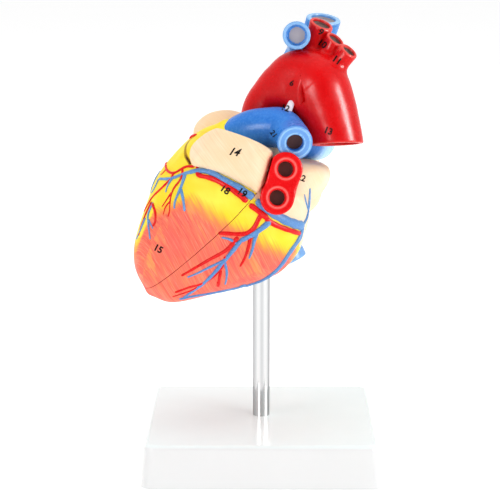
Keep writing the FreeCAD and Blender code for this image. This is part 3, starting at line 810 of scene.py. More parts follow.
def paint(name, colour, dark, light, rough=0.30, coat=0.0, level=0.12, bump=0.12, grain=900.0, streak=(1, 1, 1), wobble=0.05, rim=None, floor=None):
    """Gloss paint on moulded plastic: slight tone changes, fine orange peel, faint brush streaks.
    rim and floor are colours for a cut vessel end, chosen by the rim and deep attributes; the rim colour also draws the
    thin painted highlights round some lumens."""
    g = Graph(name)
    co = g.object()
    broad = g.noise(co, 55.0, 3.0, 0.55)
    fine = g.noise(g.scaled(co, *streak), grain, 3.0, 0.6)
    col = g.mix(g.span(broad, 0.3, 0.7, 0.0, 1.0), dark, colour)
    col = g.mix(g.math("MULTIPLY", g.span(fine, 0.45, 0.75, 0.0, 1.0), 0.55), col, light)
    if rim is not None:
        r = g.attr("rim")
        col = g.mix(g.math("MULTIPLY", r, 1.0, clamp=True), col, rim)
    if floor is not None:
        d = g.attr("deep")
        col = g.mix(g.step(d, 0.42, 0.52), col, floor)
    h = g.math("ADD", g.math("MULTIPLY", fine, 0.6), g.math("MULTIPLY", broad, 1.4))
    rg = g.span(g.noise(co, 140.0, 3.0, 0.6), 0.3, 0.7, rough - wobble, rough + wobble)
    if floor is not None:
        rg = g.math("ADD", rg, g.math("MULTIPLY", g.step(g.attr("deep"), 0.42, 0.52), 0.3))
    m = g.set(Base_Color=col, Roughness=rg, Normal=g.bump(h, bump, 0.0006))
    g.b.inputs["Coat Weight"].default_value = coat
    g.b.inputs["Coat Roughness"].default_value = 0.16
    g.b.inputs["Specular IOR Level"].default_value = level
    return m


RED = paint("artery_paint", rgb(222, 10, 14), rgb(206, 5, 10), rgb(232, 20, 24), rough=0.27, level=0.16, rim=rgb(240, 84, 78), floor=rgb(122, 100, 94))
RED_PV = paint("pulmonary_vein_paint", rgb(236, 16, 22), rgb(222, 10, 16), rgb(244, 36, 38), rough=0.27, rim=rgb(252, 122, 116), floor=rgb(92, 52, 48))
BLUE = paint("vein_paint", rgb(56, 130, 222), rgb(46, 114, 208), rgb(86, 158, 234), rough=0.27, rim=rgb(168, 214, 250), floor=rgb(100, 68, 64))
BLUE_GREY = paint("upper_vein_paint", rgb(84, 152, 226), rgb(66, 134, 212), rgb(112, 174, 234), rough=0.27, rim=rgb(164, 208, 248), floor=rgb(180, 172, 176))
COR_RED = paint("coronary_artery_paint", rgb(236, 24, 26), rgb(214, 14, 18), rgb(250, 70, 64), rough=0.30, grain=1500.0)
COR_BLUE = paint("coronary_vein_paint", rgb(102, 152, 210), rgb(80, 132, 196), rgb(146, 184, 228), rough=0.32, grain=1500.0)
WHITE = paint("ligament_paint", rgb(244, 242, 248), rgb(232, 228, 242), rgb(252, 252, 254), rough=0.4)


def heart_outside():
    """Fat yellow, muscle salmon and atrial cream in one coat, with fine fibres and feathered borders."""
    g = Graph("heart_paint")
    co = g.object()
    across, along = g.attr("across"), g.attr("along")
    fib = g.combine(g.math("MULTIPLY", across, 2.3), g.math("MULTIPLY", along, 0.075), 0.0)
    fine = g.noise(fib, 1.0, 4.0, 0.62, 0.15)
    fib2 = g.combine(g.math("MULTIPLY", across, 0.60), g.math("MULTIPLY", along, 0.045), 3.7)
    wide = g.noise(fib2, 1.0, 3.0, 0.55, 0.3)
    patch = g.noise(co, 62.0, 2.0, 0.5)
    # muscle: salmon with pink, orange and a few yellow streaks
    muscle = g.ramp(wide, (0.28, rgb(240, 96, 88)), (0.42, rgb(248, 112, 92)), (0.56, rgb(252, 122, 96)), (0.70, rgb(254, 142, 94)), (0.84, rgb(255, 166, 88)))
    muscle = g.mix(g.math("MULTIPLY", g.step(fine, 0.50, 0.68), 0.60), muscle, rgb(255, 156, 130))
    muscle = g.mix(g.math("MULTIPLY", g.step(fine, 0.50, 0.34), 0.55), muscle, rgb(226, 84, 78))
    blot = g.noise(g.combine(g.math("MULTIPLY", across, 0.13), g.math("MULTIPLY", along, 0.055), 5.5), 1.0, 3.0, 0.6, 0.5)
    thread = g.noise(g.combine(g.math("MULTIPLY", across, 1.5), g.math("MULTIPLY", along, 0.10), 7.3), 1.0, 4.0, 0.65, 0.2)
    muscle = g.mix(g.math("MULTIPLY", g.step(g.math("MULTIPLY_ADD", thread, 0.55, blot), 0.86, 1.04), 0.62), muscle, rgb(255, 176, 92))
    muscle = g.mix(g.math("MULTIPLY", g.step(patch, 0.53, 0.70), 0.42), muscle, rgb(250, 106, 100))
    muscle = g.mix(g.math("MULTIPLY", g.step(thread, 0.60, 0.74), 0.45), muscle, rgb(255, 190, 160))
    muscle = g.mix(g.math("MULTIPLY", g.step(thread, 0.41, 0.30), 0.38), muscle, rgb(206, 86, 52))
    # fat: lemon yellow, warmer in random patches
    fat = g.mix(g.span(patch, 0.35, 0.7, 0.0, 1.0), rgb(254, 220, 46), rgb(255, 240, 80))
    fat = g.mix(g.math("MULTIPLY", g.step(fine, 0.56, 0.74), 0.30), fat, rgb(255, 246, 116))
    f = g.attr("fat")
    feather = g.math("MULTIPLY", g.math("SUBTRACT", g.noise(g.combine(g.math("MULTIPLY", across, 1.3), g.math("MULTIPLY", along, 0.06), 9.1), 1.0, 3.0, 0.60, 0.2), 0.5), 11.0)
    f = g.math("ADD", f, feather)
    col = g.mix(g.math("MULTIPLY", g.step(f, -7.5, -1.5), 0.78), muscle, rgb(255, 160, 74))
    col = g.mix(g.math("MULTIPLY", g.step(f, -3.6, 0.6), 0.85), col, rgb(255, 200, 56))
    col = g.mix(g.step(f, -1.2, 3.6), col, fat)
    # cream atria
    cream = g.mix(g.span(patch, 0.35, 0.68, 0.0, 1.0), rgb(252, 220, 178), rgb(254, 232, 202))
    cream = g.mix(g.math("MULTIPLY", g.step(fine, 0.52, 0.70), 0.35), cream, rgb(255, 238, 216))
    # painted shade: a dark yellow line along the groove at the left auricle's outer edge, dark brown towards its lower
    # end
    col = g.mix(g.step(g.attr("line"), 0.1, 0.9), col, rgb(176, 132, 16))
    col = g.mix(g.step(g.attr("line"), 1.1, 1.9), col, rgb(72, 30, 18))
    a = g.math("ADD", g.attr("atr"), g.math("MULTIPLY", g.math("SUBTRACT", patch, 0.5), 1.2))
    col = g.mix(g.step(a, 0.35, -0.35), col, cream)
    h = g.math("ADD", g.math("MULTIPLY", fine, 1.0), g.math("MULTIPLY", wide, 0.8))
    rough = g.span(g.noise(co, 160.0, 2.0, 0.5), 0.3, 0.7, 0.36, 0.50)
    m = g.set(Base_Color=col, Roughness=rough, Normal=g.bump(h, 0.30, 0.0005))
    g.b.inputs["Coat Weight"].default_value = 0.0
    g.b.inputs["Specular IOR Level"].default_value = 0.08
    return m


def heart_cut():
    g = Graph("cut_wall_paint")
    co = g.object()
    n = g.noise(co, 260.0, 4.0, 0.6)
    p = g.noise(co, 70.0, 2.0, 0.5)
    col = g.mix(g.span(p, 0.35, 0.7, 0, 1), rgb(214, 74, 62), rgb(232, 96, 80))
    col = g.mix(g.math("MULTIPLY", g.step(n, 0.5, 0.7), 0.4), col, rgb(242, 128, 108))
    m = g.set(Base_Color=col, Roughness=g.span(n, 0.3, 0.7, 0.42, 0.58), Normal=g.bump(n, 0.2, 0.0004))
    return m


def heart_room():
    g = Graph("chamber_paint")
    co = g.object()
    n = g.noise(co, 210.0, 4.0, 0.6, 0.4)
    p = g.noise(co, 60.0, 2.0, 0.5)
    relief = g.attr("relief")
    col = g.mix(g.span(p, 0.35, 0.7, 0, 1), rgb(226, 104, 88), rgb(244, 140, 116))
    col = g.mix(g.step(relief, -0.2, 0.9), col, rgb(250, 190, 160))
    col = g.mix(g.math("MULTIPLY", g.step(n, 0.52, 0.72), 0.35), col, rgb(206, 70, 66))
    m = g.set(Base_Color=col, Roughness=g.span(n, 0.3, 0.7, 0.30, 0.46), Normal=g.bump(n, 0.25, 0.0005))
    g.b.inputs["Coat Weight"].default_value = 0.25
    return m


def cream_paint():
    g = Graph("atrium_paint")
    co = g.object()
    p = g.noise(co, 48.0, 2.0, 0.5)
    ln = g.combine(g.math("MULTIPLY", g.attr("across"), 1.5), g.math("MULTIPLY", g.attr("along"), 0.045), 0.0)
    fine = g.noise(ln, 1.0, 3.0, 0.6, 0.1)
    col = g.mix(g.span(p, 0.35, 0.68, 0.0, 1.0), rgb(250, 214, 170), rgb(254, 228, 194))
    col = g.mix(g.math("MULTIPLY", g.step(fine, 0.50, 0.72), 0.50), col, rgb(255, 238, 212))
    col = g.mix(g.math("MULTIPLY", g.step(fine, 0.46, 0.30), 0.45), col, rgb(240, 196, 152))
    # painted shade: the right auricle's second, smaller lobe beside the aorta is tinted a darker pink
    col = g.mix(g.math("MULTIPLY", g.step(g.attr("second_lobe_shade"), 0.0, 1.0), 0.6), col, rgb(248, 186, 150))
    m = g.set(Base_Color=col, Roughness=g.span(p, 0.3, 0.7, 0.38, 0.50), Normal=g.bump(fine, 0.22, 0.0004))
    g.b.inputs["Specular IOR Level"].default_value = 0.08
    return m


HEART, CUT, ROOM, CREAM = heart_outside(), heart_cut(), heart_room(), cream_paint()


def plain_paint(name, a, b, rough, metal=0.0, scale=300.0, bump=0.08, coat=0.0, streak=(1, 1, 1)):
    g = Graph(name)
    co = g.object()
    n = g.noise(g.scaled(co, *streak), scale, 4.0, 0.6)
    p = g.noise(co, 40.0, 2.0, 0.5)
    col = g.mix(g.math("MULTIPLY_ADD", n, 0.5, g.math("MULTIPLY", p, 0.5)), a, b)
    m = g.set(Base_Color=col, Roughness=g.span(n, 0.3, 0.7, rough * 0.8, rough * 1.2), Normal=g.bump(n, bump, 0.0003))
    g.b.inputs["Metallic"].default_value = metal
    g.b.inputs["Coat Weight"].default_value = coat
    return m


def base_paint():
    """Smooth white moulding. Upright faces are painted a touch darker than the top, as painted shade for the lesser
    light they get.
    """
    g = Graph("base_gloss")
    co = g.object()
    n = g.noise(co, 45.0, 2.0, 0.5)
    # painted shade: faces that point up take the top colour, upright faces the darker side colour
    up = g.node("SeparateXYZ", {0: g.node("TexCoord").outputs["Normal"]}).outputs[2]
    top = g.mix(n, rgb(243, 253, 253), rgb(245, 254, 254))
    side = g.mix(n, rgb(232, 233, 233), rgb(234, 235, 235))
    m = g.set(Base_Color=g.mix(g.step(up, 0.30, 0.85), side, top), Roughness=g.span(n, 0.3, 0.7, 0.20, 0.24))
    g.b.inputs["Specular IOR Level"].default_value = 0.25
    return m


BASE = base_paint()
PLATE = plain_paint("plate_satin", rgb(226, 226, 224), rgb(236, 236, 234), 0.45)
STEEL = plain_paint("screw_zinc", rgb(172, 174, 178), rgb(198, 200, 204), 0.30, 1.0, 900.0)
def chrome():
    """Polished tube with soft upright grey and white bands round it: painted reflections of studio lights, fixed round
    the rod.
    """
    g = Graph("rod_chrome")
    co = g.object()
    sep = g.node("SeparateXYZ", {0: co})
    ang = g.math("ARCTAN2", sep.outputs[0], g.math("MULTIPLY", sep.outputs[1], -1.0))
    wob = g.noise(g.scaled(co, 1, 1, 0.01), 260.0, 2.0, 0.5)
    # painted reflections: six soft bands by the angle round the rod, wobbling slightly along its height
    painted_reflection_phase = g.math("ADD", g.math("MULTIPLY", g.math("ADD", ang, 0.40), 6.8), g.math("MULTIPLY", g.math("SUBTRACT", wob, 0.5), 0.9))
    b = g.math("MULTIPLY_ADD", g.math("COSINE", painted_reflection_phase), 0.5, 0.5)
    col = g.ramp(b, (0.0, rgb(192, 193, 194)), (0.35, rgb(201, 202, 203)), (0.70, rgb(212, 213, 213)), (1.0, rgb(216, 216, 216)))
    m = g.set(Base_Color=col, Roughness=g.span(wob, 0.3, 0.7, 0.07, 0.12), Normal=g.bump(wob, 0.02, 0.0003))
    g.b.inputs["Metallic"].default_value = 1.0
    g.b.inputs["Specular Tint"].default_value = (0.12, 0.12, 0.13, 1.0)
    return m


CHROME = chrome()
BRASS = plain_paint("sleeve_brass", rgb(198, 162, 92), rgb(214, 180, 110), 0.28, 1.0, 800.0)
NICKEL = plain_paint("magnet_nickel", rgb(176, 174, 170), rgb(202, 200, 196), 0.22, 1.0, 700.0)
IVORY = plain_paint("valve_ivory", rgb(240, 222, 190), rgb(250, 236, 212), 0.38, 0.0, 240.0, 0.2, 0.15)
MUSCLE_IN = plain_paint("papillary_paint", rgb(214, 88, 76), rgb(238, 124, 104), 0.36, 0.0, 260.0, 0.3, 0.2)
INK = plain_paint("key_number_ink", rgb(8, 6, 8), rgb(16, 12, 14), 0.6, 0.0, 900.0)
INK.node_tree.nodes["Principled BSDF"].inputs["Specular IOR Level"].default_value = 0.1


def dress(ob, *mats):
    ob.data.materials.clear()
    for m in mats:
        ob.data.materials.append(m)


# ------------------------------------------------------------------ surface coordinates for the paint
def angle_of(P):
    """Round the heart's long axis: 0 at the front, -90 on the left side, 90 on the right, degrees."""
    s, u, w = heart_coords(P)
    return np.degrees(np.arctan2(w, u))


def fibre(ob, P):
    s, u, w = heart_coords(P)
    put(ob, "across", s + 0.34 * u * np.tanh(-w / 18.0) + 0.9 * noise3(P, 0.055, 2.0))
    put(ob, "along", np.where(np.abs(w) > np.abs(u), u, w) + 0.6 * P[:, 1])


# The groove between atria and ventricles: how far along the axis it lies, at each angle.
GROOVE = [(-180, 8), (-170, 10), (-160, 13), (-150, 14), (-146, 10), (-139, 5.7), (-119, 9.9), (-108, 12.8), (-99, 13.9), (-92, 13.5), (-82, 13.3), (-73, 14.2), (-64.6, 16.1),
          (-55, 18.6), (-47.4, 22.8), (-44, 25.8), (-41, 0.0), (-38, -40.0), (40, -40.0), (52, -14.0), (62, -2.0), (80, 1.0), (100, 2.0), (120, 2.0), (140, 1.0), (160, 4.0), (170, 6.0), (180, 8.0)]
# Fat: how far down the axis the yellow reaches, at each angle.
FAT = [(-180, 24.0), (-160, 20.0), (-152, 16.0), (-144, 14.3), (-139.7, 19.4), (-129, 21.8), (-119, 24.3), (-109.7, 25.1), (-99.7, 27.1), (-87.5, 30.8), (-78, 32.0), (-66, 32.8), (-57, 34.1),
       (-45.8, 43.3), (-38, 47.7), (-30, 50.0), (-26, 58.0), (-22.5, 66.0), (-15, 70.0), (0, 68.0), (10, 60.0), (20, 40.0), (30, 24.0), (40, 18.0), (60, 15.0), (80, 15.0), (100, 16.0),
       (120, 17.0), (140, 22.0), (158, 34.0), (170, 32.0), (180, 24.0)]


def by_angle(tab, th):
    x = np.array([t[0] for t in tab], float)
    y = np.array([t[1] for t in tab], float)
    return np.interp(th, x, y)


def heart_attributes(ob, P):
    s, u, w = heart_coords(P)
    th = np.degrees(np.arctan2(w, u))
    fibre(ob, P)
    put(ob, "atr", np.full(len(P), 9.0) if ob["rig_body"] == "heart_front" else s - by_angle(GROOVE, th))
    put(ob, "fat", by_angle(FAT, th) - s)
    # painted shade in the groove at the left auricle's outer edge: near 1 on the line, up to 2 towards its lower end
    near = dist_line(P, crease)
    low = np.clip((crease[:, 2].min() + 4.0 - P[:, 2]) / 2.0, 0, 1)
    put(ob, "line", np.clip(1.5 - near / 0.80, 0, 1) * (1 + low))


def face_materials(ob, tests):
    """tests: a list of (material index, function of face centres giving a mask), the first that holds wins."""
    me = ob.data
    n = len(me.polygons)
    c = np.zeros(n * 3)
    me.polygons.foreach_get("center", c)
    c = c.reshape(-1, 3) / MM
    idx = np.zeros(n, np.int32)
    done = np.zeros(n, bool)
    for i, fn in tests:
        m = fn(c) & ~done
        idx[m] = i
        done |= m
    me.polygons.foreach_set("material_index", idx)
    me.update()


# ------------------------------------------------------------------ heart: front wall and rear half
PLANE_A = f_plane(-NA, NA * DA)                 # negative in front of the main cut
PLANE_B = f_plane(NB, PB)                       # negative below the upper cut
PLANE_C = f_plane(NC, PC)                       # negative to the left of the end cut
f_gapA = f_plane(-NA, NA * (DA - GAP))
f_gapB = f_plane(NB, PB + NB * 0.10)
f_gapC = f_plane(NC, PC + NC * GAP)

L_ROOMS, R_ROOMS = minus(f_left_rooms), minus(f_right_rooms)
HOLES = minus(lambda P: np.minimum(f_mitral_hole(P), f_tricuspid_hole(P)))
MAG = minus(f_magnets)
SLEEVE = minus(f_sleeve)
OUT = leaf(f_heart)

front = inter(OUT, leaf(PLANE_A), leaf(PLANE_B), leaf(PLANE_C), L_ROOMS, R_ROOMS, MAG)
LO, HI = vec(-72, -46, 78), vec(44, 50, 184)
heart_front = build("front_heart_wall_skin", front, vec(-72, -46, 80), vec(16, 50, 184), STEP, "heart_front")
for n in ("front_wall_left", "front_wall_right"):
    if n in frame["nodes"]:
        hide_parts(n)
LPV = (vec(12.0, -42.2, 158.2), vec(7.6, -42.4, 143.9), unit([0.10, -0.97, 0.20]))
LPV = (LPV[0], LPV[1] + LPV[2] * ((LPV[0] - LPV[1]) @ LPV[2]), LPV[2])
RPV = (vec(23.5, 43.5, 149.5), vec(22.5, 43.5, 136.5), unit([0.20, 0.97, 0.05]))
RPV = (RPV[0], RPV[1] + RPV[2] * ((RPV[0] - RPV[1]) @ RPV[2]), RPV[2])
LPV_BORES = [f_cyl(c, LPV[2], 4.9, -5.4, 4.0) for c in LPV[:2]]
BORES = minus(lambda P: np.minimum(LPV_BORES[0](P), LPV_BORES[1](P)))
rear = inter(OUT, union(minus(f_gapA), minus(f_gapB), minus(f_gapC)), L_ROOMS, R_ROOMS, HOLES, MAG, SLEEVE, BORES)
heart_rear = build("rear_heart_body_skin", rear, LO, HI, STEP, "heart_rear")
for n in ("rear_heart_left", "rear_heart_right"):
    if n in frame["nodes"]:
        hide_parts(n)
for ob in (heart_front, heart_rear):
    P = points_of(ob)
    heart_attributes(ob, P)
    s_, u_, w_ = heart_coords(P)
    put(ob, "relief", np.where(w_ < 2, trabeculae(P, 1.0, -1), trabeculae(P, 1.0, 1)))
    dress(ob, HEART, CUT, ROOM)
    face_materials(ob, [
        (2, lambda c: (np.abs(f_left_rooms(c)) < 0.12) | (np.abs(f_right_rooms(c)) < 0.12) | (np.abs(np.minimum(f_mitral_hole(c), f_tricuspid_hole(c))) < 0.12)),
        (1, lambda c: (np.abs(np.abs(NA @ c.T - DA + GAP / 2) - GAP / 2) < 0.06) & (f_heart(c) < -0.1) | (np.abs(np.abs((c - PB) @ NB - 0.05) - 0.05) < 0.04) & (f_heart(c) < -0.1)
         | (np.abs(np.abs((c - PC) @ NC - GAP / 2) - GAP / 2) < 0.06) & (f_heart(c) < -0.1) | (np.abs(f_magnets(c)) < 0.08))])

# ------------------------------------------------------------------ the great vessels' pieces
def ends_paint(ob, ends, tint=None):
    """ends: (centre, direction, lumen radius, depth, tone of the flat face, radii at which thin lighter circles are
    painted as highlights).
    rim lightens the paint, deep is 1 on the lumen's floor."""
    P = points_of(ob)
    rim, deep = np.zeros(len(P)), np.zeros(len(P))
    for c, d, r, depth, face, highlight_rings, *disc in ends:
        q = P - np.asarray(c, float)
        d = unit(d)
        z = q @ d
        rad = np.linalg.norm(q - np.outer(z, d), axis=1)
        near = (rad < r + 7) & (z > -depth - 1.5) & (z < 3)
        flat = np.clip(1 + (z + 0.30) / 0.4, 0, 1) * (rad > r - 0.2)
        tone = flat * face
        # painted highlights: thin lighter circles on the flat end face
        for r0 in highlight_rings:
            tone = np.maximum(tone, flat * np.exp(-((rad - r0) / 0.42) ** 2))
        rim = np.where(near, np.maximum(rim, tone), rim)
        deep = np.where(near & (rad < (disc[0] if disc else r + 0.35)), np.clip(1 + (-depth + 0.7 - z) / 0.7, 0, 1), deep)
    if tint is not None:
        rim = np.maximum(rim, tint(P))
    put(ob, "rim", rim)
    put(ob, "deep", deep)


def vessel(name, solid, lo, hi, body, node, mat, ends, h=None):
    ob = build(name, solid, lo, hi, h or FINE, body)
    ends_paint(ob, ends)
    dress(ob, mat)
    if node:
        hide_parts(node)
    return ob


asc_path, asc_r = AORTA_PATH[:8], AORTA_R[:8]
f_asc = f_tube([(-1.2, 5.6, 160)] + asc_path, [10.8] + asc_r, 6)
f_web = f_ellipsoid((16.6, -7.2, 190.4), (8.6, 7.2, 8.0))
arch_tube = ended(AORTA_PATH[4:], AORTA_R[4:], DESC_END, DESC_DIR, 0.9)
trunks = [ended([np.asarray(p[0]) - (np.asarray(p[1]) - np.asarray(p[0])) * 0.4] + list(p), [r[0]] + r, p[-1], d, 0.8) for p, r, d, q in TRUNKS]


def f_aorta(P):
    v = smin(smin(f_asc(P), f_web(P), 8.0), arch_tube(P), 6.0)
    far = P[:, 2] < 192
    t = np.full(len(P), 40.0)
    m = ~far
    if m.any():
        k = trunks[0](P[m])
        for q in trunks[1:]:
            k = smin(k, q(P[m]), 1.6)
        t[m] = k
    v = smin(v, t, 3.2)
    return v - 0.06 * np.exp(-(f_join(P) / 0.40) ** 2) * (P[:, 2] > 184)


f_join = f_plane(JOIN_N, JOIN_P)
f_join_low = f_plane([0.6585, 0, -0.7526], vec(22.3, 0, 189.0))


def f_divide(P):
    """Negative on the ascending side of the joint."""
    return np.maximum(f_join(P), np.minimum(f_join_low(P), P[:, 0] - 12.6)) + 0.12 * noise3(P, 0.5, 3.0)


def f_all(fs):
    def f(P):
        v = fs[0](P)
        for q in fs[1:]:
            v = np.minimum(v, q(P))
        return v
    return f


AORTA = leaf(f_aorta)
asc = inter(AORTA, leaf(lambda P: f_divide(P) - 0.30), minus(f_left_rooms), leaf(f_plane([0, 0, -1], vec(0, 0, 162.5))))
v_asc = vessel("ascending_aorta_skin", asc, vec(-14, -18, 160), vec(28, 20, 214), "heart_rear", "ascending_aorta", RED, [])

ENDS_ARCH = [(DESC_END, DESC_DIR, 10.6, 7.0, 0.55, [])] + [(p[-1], d, q, 2.2, 0.85, []) for p, r, d, q in TRUNKS]
arch_lumens = [lumen(DESC_END, DESC_DIR, 10.9, 7.0)] + [lumen(p[-1], d, q, 2.2) for p, r, d, q in TRUNKS]
arch = inter(AORTA, minus(lambda P: f_divide(P) + 0.30), minus(f_all(arch_lumens)))
v_arch = vessel("aortic_arch_skin", arch, vec(10, -32, 160), vec(56, 20, 232), "heart_rear", "aortic_arch", RED, ENDS_ARCH)

pt_main = ended([(-22, -4.5, 164.5)] + PT_PATH, [9.4] + PT_R, LPA_END, LPA_DIR, 1.1)
rpa_tube = ended(RPA_PATH, RPA_R, RPA_END, RPA_DIR, 1.0)


f_pt_tip = f_plane([-0.64, 0.0, 0.77], vec(-17.4, -10.0, 179.2))


def f_pt(P):
    return smin(smax(pt_main(P), f_pt_tip(P), 5.0), rpa_tube(P), 4.0)


# below the root the trunk is hidden in the wall of the conus
pt = inter(leaf(f_pt), minus(f_all([lumen(LPA_END, LPA_DIR, 4.1, 4.6), lumen(RPA_END, RPA_DIR, 5.4, 5.0)])), minus(f_right_rooms),
           union(minus(f_gapA), minus(f_gapB), minus(f_gapC)))
v_pt = vessel("pulmonary_trunk_skin", pt, vec(-32, -46, 152), vec(44, 48, 190), "heart_rear", "pulmonary_trunk", BLUE,
              [])
# the radius lists in these ends are thin painted highlights on the flat end faces
PT_ENDS = [(LPA_END, LPA_DIR, 4.1, 4.6, 0.30, [4.9, 7.6]), (RPA_END, RPA_DIR, 5.4, 5.0, 0.42, [6.4])]

for a_ in ("rim", "deep"):
    v_pt.data.attributes.remove(v_pt.data.attributes[a_])
ends_paint(v_pt, PT_ENDS, lambda P: 0.95 * np.clip((P[:, 1] - 1.0) / 6.0, 0, 1) * np.clip((P[:, 0] - 18.0) / 5.0, 0, 1))

svc_main = ended(SVC_PATH, SVC_R, SVC_END, SVC_DIR, 0.9)
lbv_tube = ended(LBV_PATH, LBV_R, LBV_END, LBV_DIR, 0.9)
svc = inter(leaf(lambda P: smin(svc_main(P), lbv_tube(P), 3.5)), minus(f_all([lumen(SVC_END, SVC_DIR, 6.2, 2.4), lumen(LBV_END, LBV_DIR, 5.1, 3.0)])))
v_svc = vessel("superior_vena_cava_skin", svc, vec(-6, -20, 150), vec(46, 44, 238), "heart_rear", "superior_vena_cava", BLUE_GREY,
               [(SVC_END, SVC_DIR, 6.2, 2.4, 0.9, []), (LBV_END, LBV_DIR, 5.1, 3.0, 0.55, [], 4.0)])

ivc = inter(leaf(ended(IVC_PATH, IVC_R, IVC_END, IVC_DIR, 0.9)), minus(lumen(IVC_END, IVC_DIR, 7.2, 5.6)))
v_ivc = vessel("inferior_vena_cava_skin", ivc, vec(-6, 12, 92), vec(26, 42, 140), "heart_rear", "inferior_vena_cava", BLUE,
               [(IVC_END, IVC_DIR, 7.2, 5.6, 0.4, [])])
for a_ in ("rim", "deep"):
    v_ivc.data.attributes.remove(v_ivc.data.attributes[a_])
ends_paint(v_ivc, [(IVC_END, IVC_DIR, 7.2, 5.6, 0.8, [])], lambda P: np.full(len(P), 0.45))

# the lists [5.1] and [5.4] below are radii of thin painted highlights round the lumens
lpv = inter(leaf(vein_block(LPV[0], LPV[1], LPV[2], 12.5, 8.4)), minus(f_all([lumen(LPV[0], LPV[2], 3.8, 4.2, 0.6), lumen(LPV[1], LPV[2], 3.8, 4.2, 0.6)])),
            union(minus(f_gapA), minus(f_gapB), minus(f_gapC)))
v_lpv = vessel("left_pulmonary_veins_skin", lpv, vec(-8, -54, 130), vec(28, -22, 172), "heart_rear", "left_pulmonary_veins", RED_PV,
               [(LPV[0], LPV[2], 3.8, 4.2, 0.0, [5.1]), (LPV[1], LPV[2], 3.8, 4.2, 0.0, [5.1])])
rpv = inter(leaf(vein_block(RPV[0], RPV[1], RPV[2], 18.0, 7.2)), minus(f_all([lumen(RPV[0], RPV[2], 3.9, 4.2), lumen(RPV[1], RPV[2], 3.9, 4.2)])))
v_rpv = vessel("right_pulmonary_veins_skin", rpv, vec(10, 18, 124), vec(38, 54, 162), "heart_rear", "right_pulmonary_veins", RED_PV,
               [(RPV[0], RPV[2], 3.9, 4.2, 0.0, [5.4]), (RPV[1], RPV[2], 3.9, 4.2, 0.0, [5.4])])

lig = leaf(f_tube([(12.0, -18.0, 180.0), (13.2, -17.4, 183.6), (14.4, -16.4, 186.4), (15.6, -13.4, 188.4)], [2.0, 1.9, 1.7, 1.7]))
v_lig = build("ligament_skin", lig, vec(6, -24, 174), vec(22, -2, 200), FINE * 0.7, "heart_rear")
ends_paint(v_lig, [])
dress(v_lig, WHITE)
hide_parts("ligamentum_arteriosum")

# ------------------------------------------------------------------ auricles
def f_outline(points, c, ex, ez):
    """Signed distance to a closed outline, in a plane's own coordinates."""
    pts = catmull([((p - c) @ ex, (p - c) @ ez) for p in points], 5, closed=True)
    nxt = np.roll(pts, -1, 0)

    def f(P):
        q = np.stack([(P - c) @ ex, (P - c) @ ez], 1)
        d = np.full(len(q), 1e18)
        s = np.ones(len(q))
        for a, b in zip(pts, nxt):
            e = b - a
            w = q - a
            t = np.clip(w @ e / (e @ e), 0, 1)
            r = w - t[:, None] * e
            np.minimum(d, (r * r).sum(1), out=d)
            c1, c2, c3 = q[:, 1] >= a[1], q[:, 1] < b[1], e[0] * w[:, 1] > e[1] * w[:, 0]
            flip = (c1 & c2 & c3) | (~c1 & ~c2 & ~c3)
            s = np.where(flip, -s, s)
        return s * np.sqrt(d)
    return f


LA_OUT = unit([-0.18, -0.95, 0.24])
LA_C = vec(-16.2, -34, 163.0)
LA_EX = unit(vec(1, 0, 0) - LA_OUT * LA_OUT[0])
LA_EZ = np.cross(LA_EX, LA_OUT)
if LA_EZ[2] < 0:
    LA_EZ = -LA_EZ
LA_LINE = [(-34.4, 158.8), (-36.1, 164.0), (-35.6, 167.8), (-33.8, 170.6), (-29.8, 174.2), (-24.4, 177.2), (-18.9, 178.6), (-14.9, 178.3), (-10.5, 177.3), (-6.6, 175.8), (-3.2, 173.8), (0.4, 170.6),
           (3.4, 167.6), (5.6, 165.6), (5.9, 163.6), (4.9, 161.5), (3.7, 155.9), (2.8, 151.7), (0.3, 143.6), (-5.6, 146.4), (-10.5, 148.7), (-16.4, 151.7), (-21.4, 153.8), (-28.3, 156.6), (-31.8, 157.6)]
la_line = [vec(x, -34, z) for x, z in LA_LINE]
la_line = [p - LA_OUT * ((p - LA_C) @ LA_OUT) for p in la_line]
f_la_line = f_outline(la_line, LA_C, LA_EX, LA_EZ)


def f_left_auricle(P):
    q = P - LA_C
    v, a, b = q @ LA_OUT, q @ LA_EX, q @ LA_EZ
    top = v - (10.3 - (a / 24) ** 2 * 1.6 - (b / 13) ** 2 * 1.2)
    return smax(smax(f_la_line(P), top, 10.0), -11.5 - v, 2.0) - 0.12 * noise3(P, 0.3, 4.0)


f_la_fit = lambda P: f_pt(P) - 0.45
la = inter(leaf(f_left_auricle), leaf(PLANE_A), leaf(PLANE_B), leaf(PLANE_C), minus(f_la_fit), minus(lambda P: f_heart(P) + 1.6), minus(lambda P: f_asc(P) - 0.4))
v_la = build("left_auricle_skin", la, vec(-44, -50, 138), vec(10, -14, 184), FINE, "heart_front")
P = points_of(v_la)
q = P - LA_C
put(v_la, "across", 0.80 * (q @ LA_EX) + 0.60 * (q @ LA_EZ) + 0.5 * noise3(P, 0.1, 5.0))
put(v_la, "along", 0.60 * (q @ LA_EX) - 0.80 * (q @ LA_EZ))
put(v_la, "second_lobe_shade", -np.ones(len(P)))
dress(v_la, CREAM)
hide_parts("left_auricle")

f_ra1 = f_ellipsoid((-18.5, 16, 168), (17, 17, 12))
f_ra2 = f_ellipsoid((-5.5, 12.0, 171.0), (9.5, 10, 9.0))


def f_right_auricle(P):
    return smin(f_ra1(P), f_ra2(P), 1.6) - 0.15 * noise3(P, 0.26, 6.0)


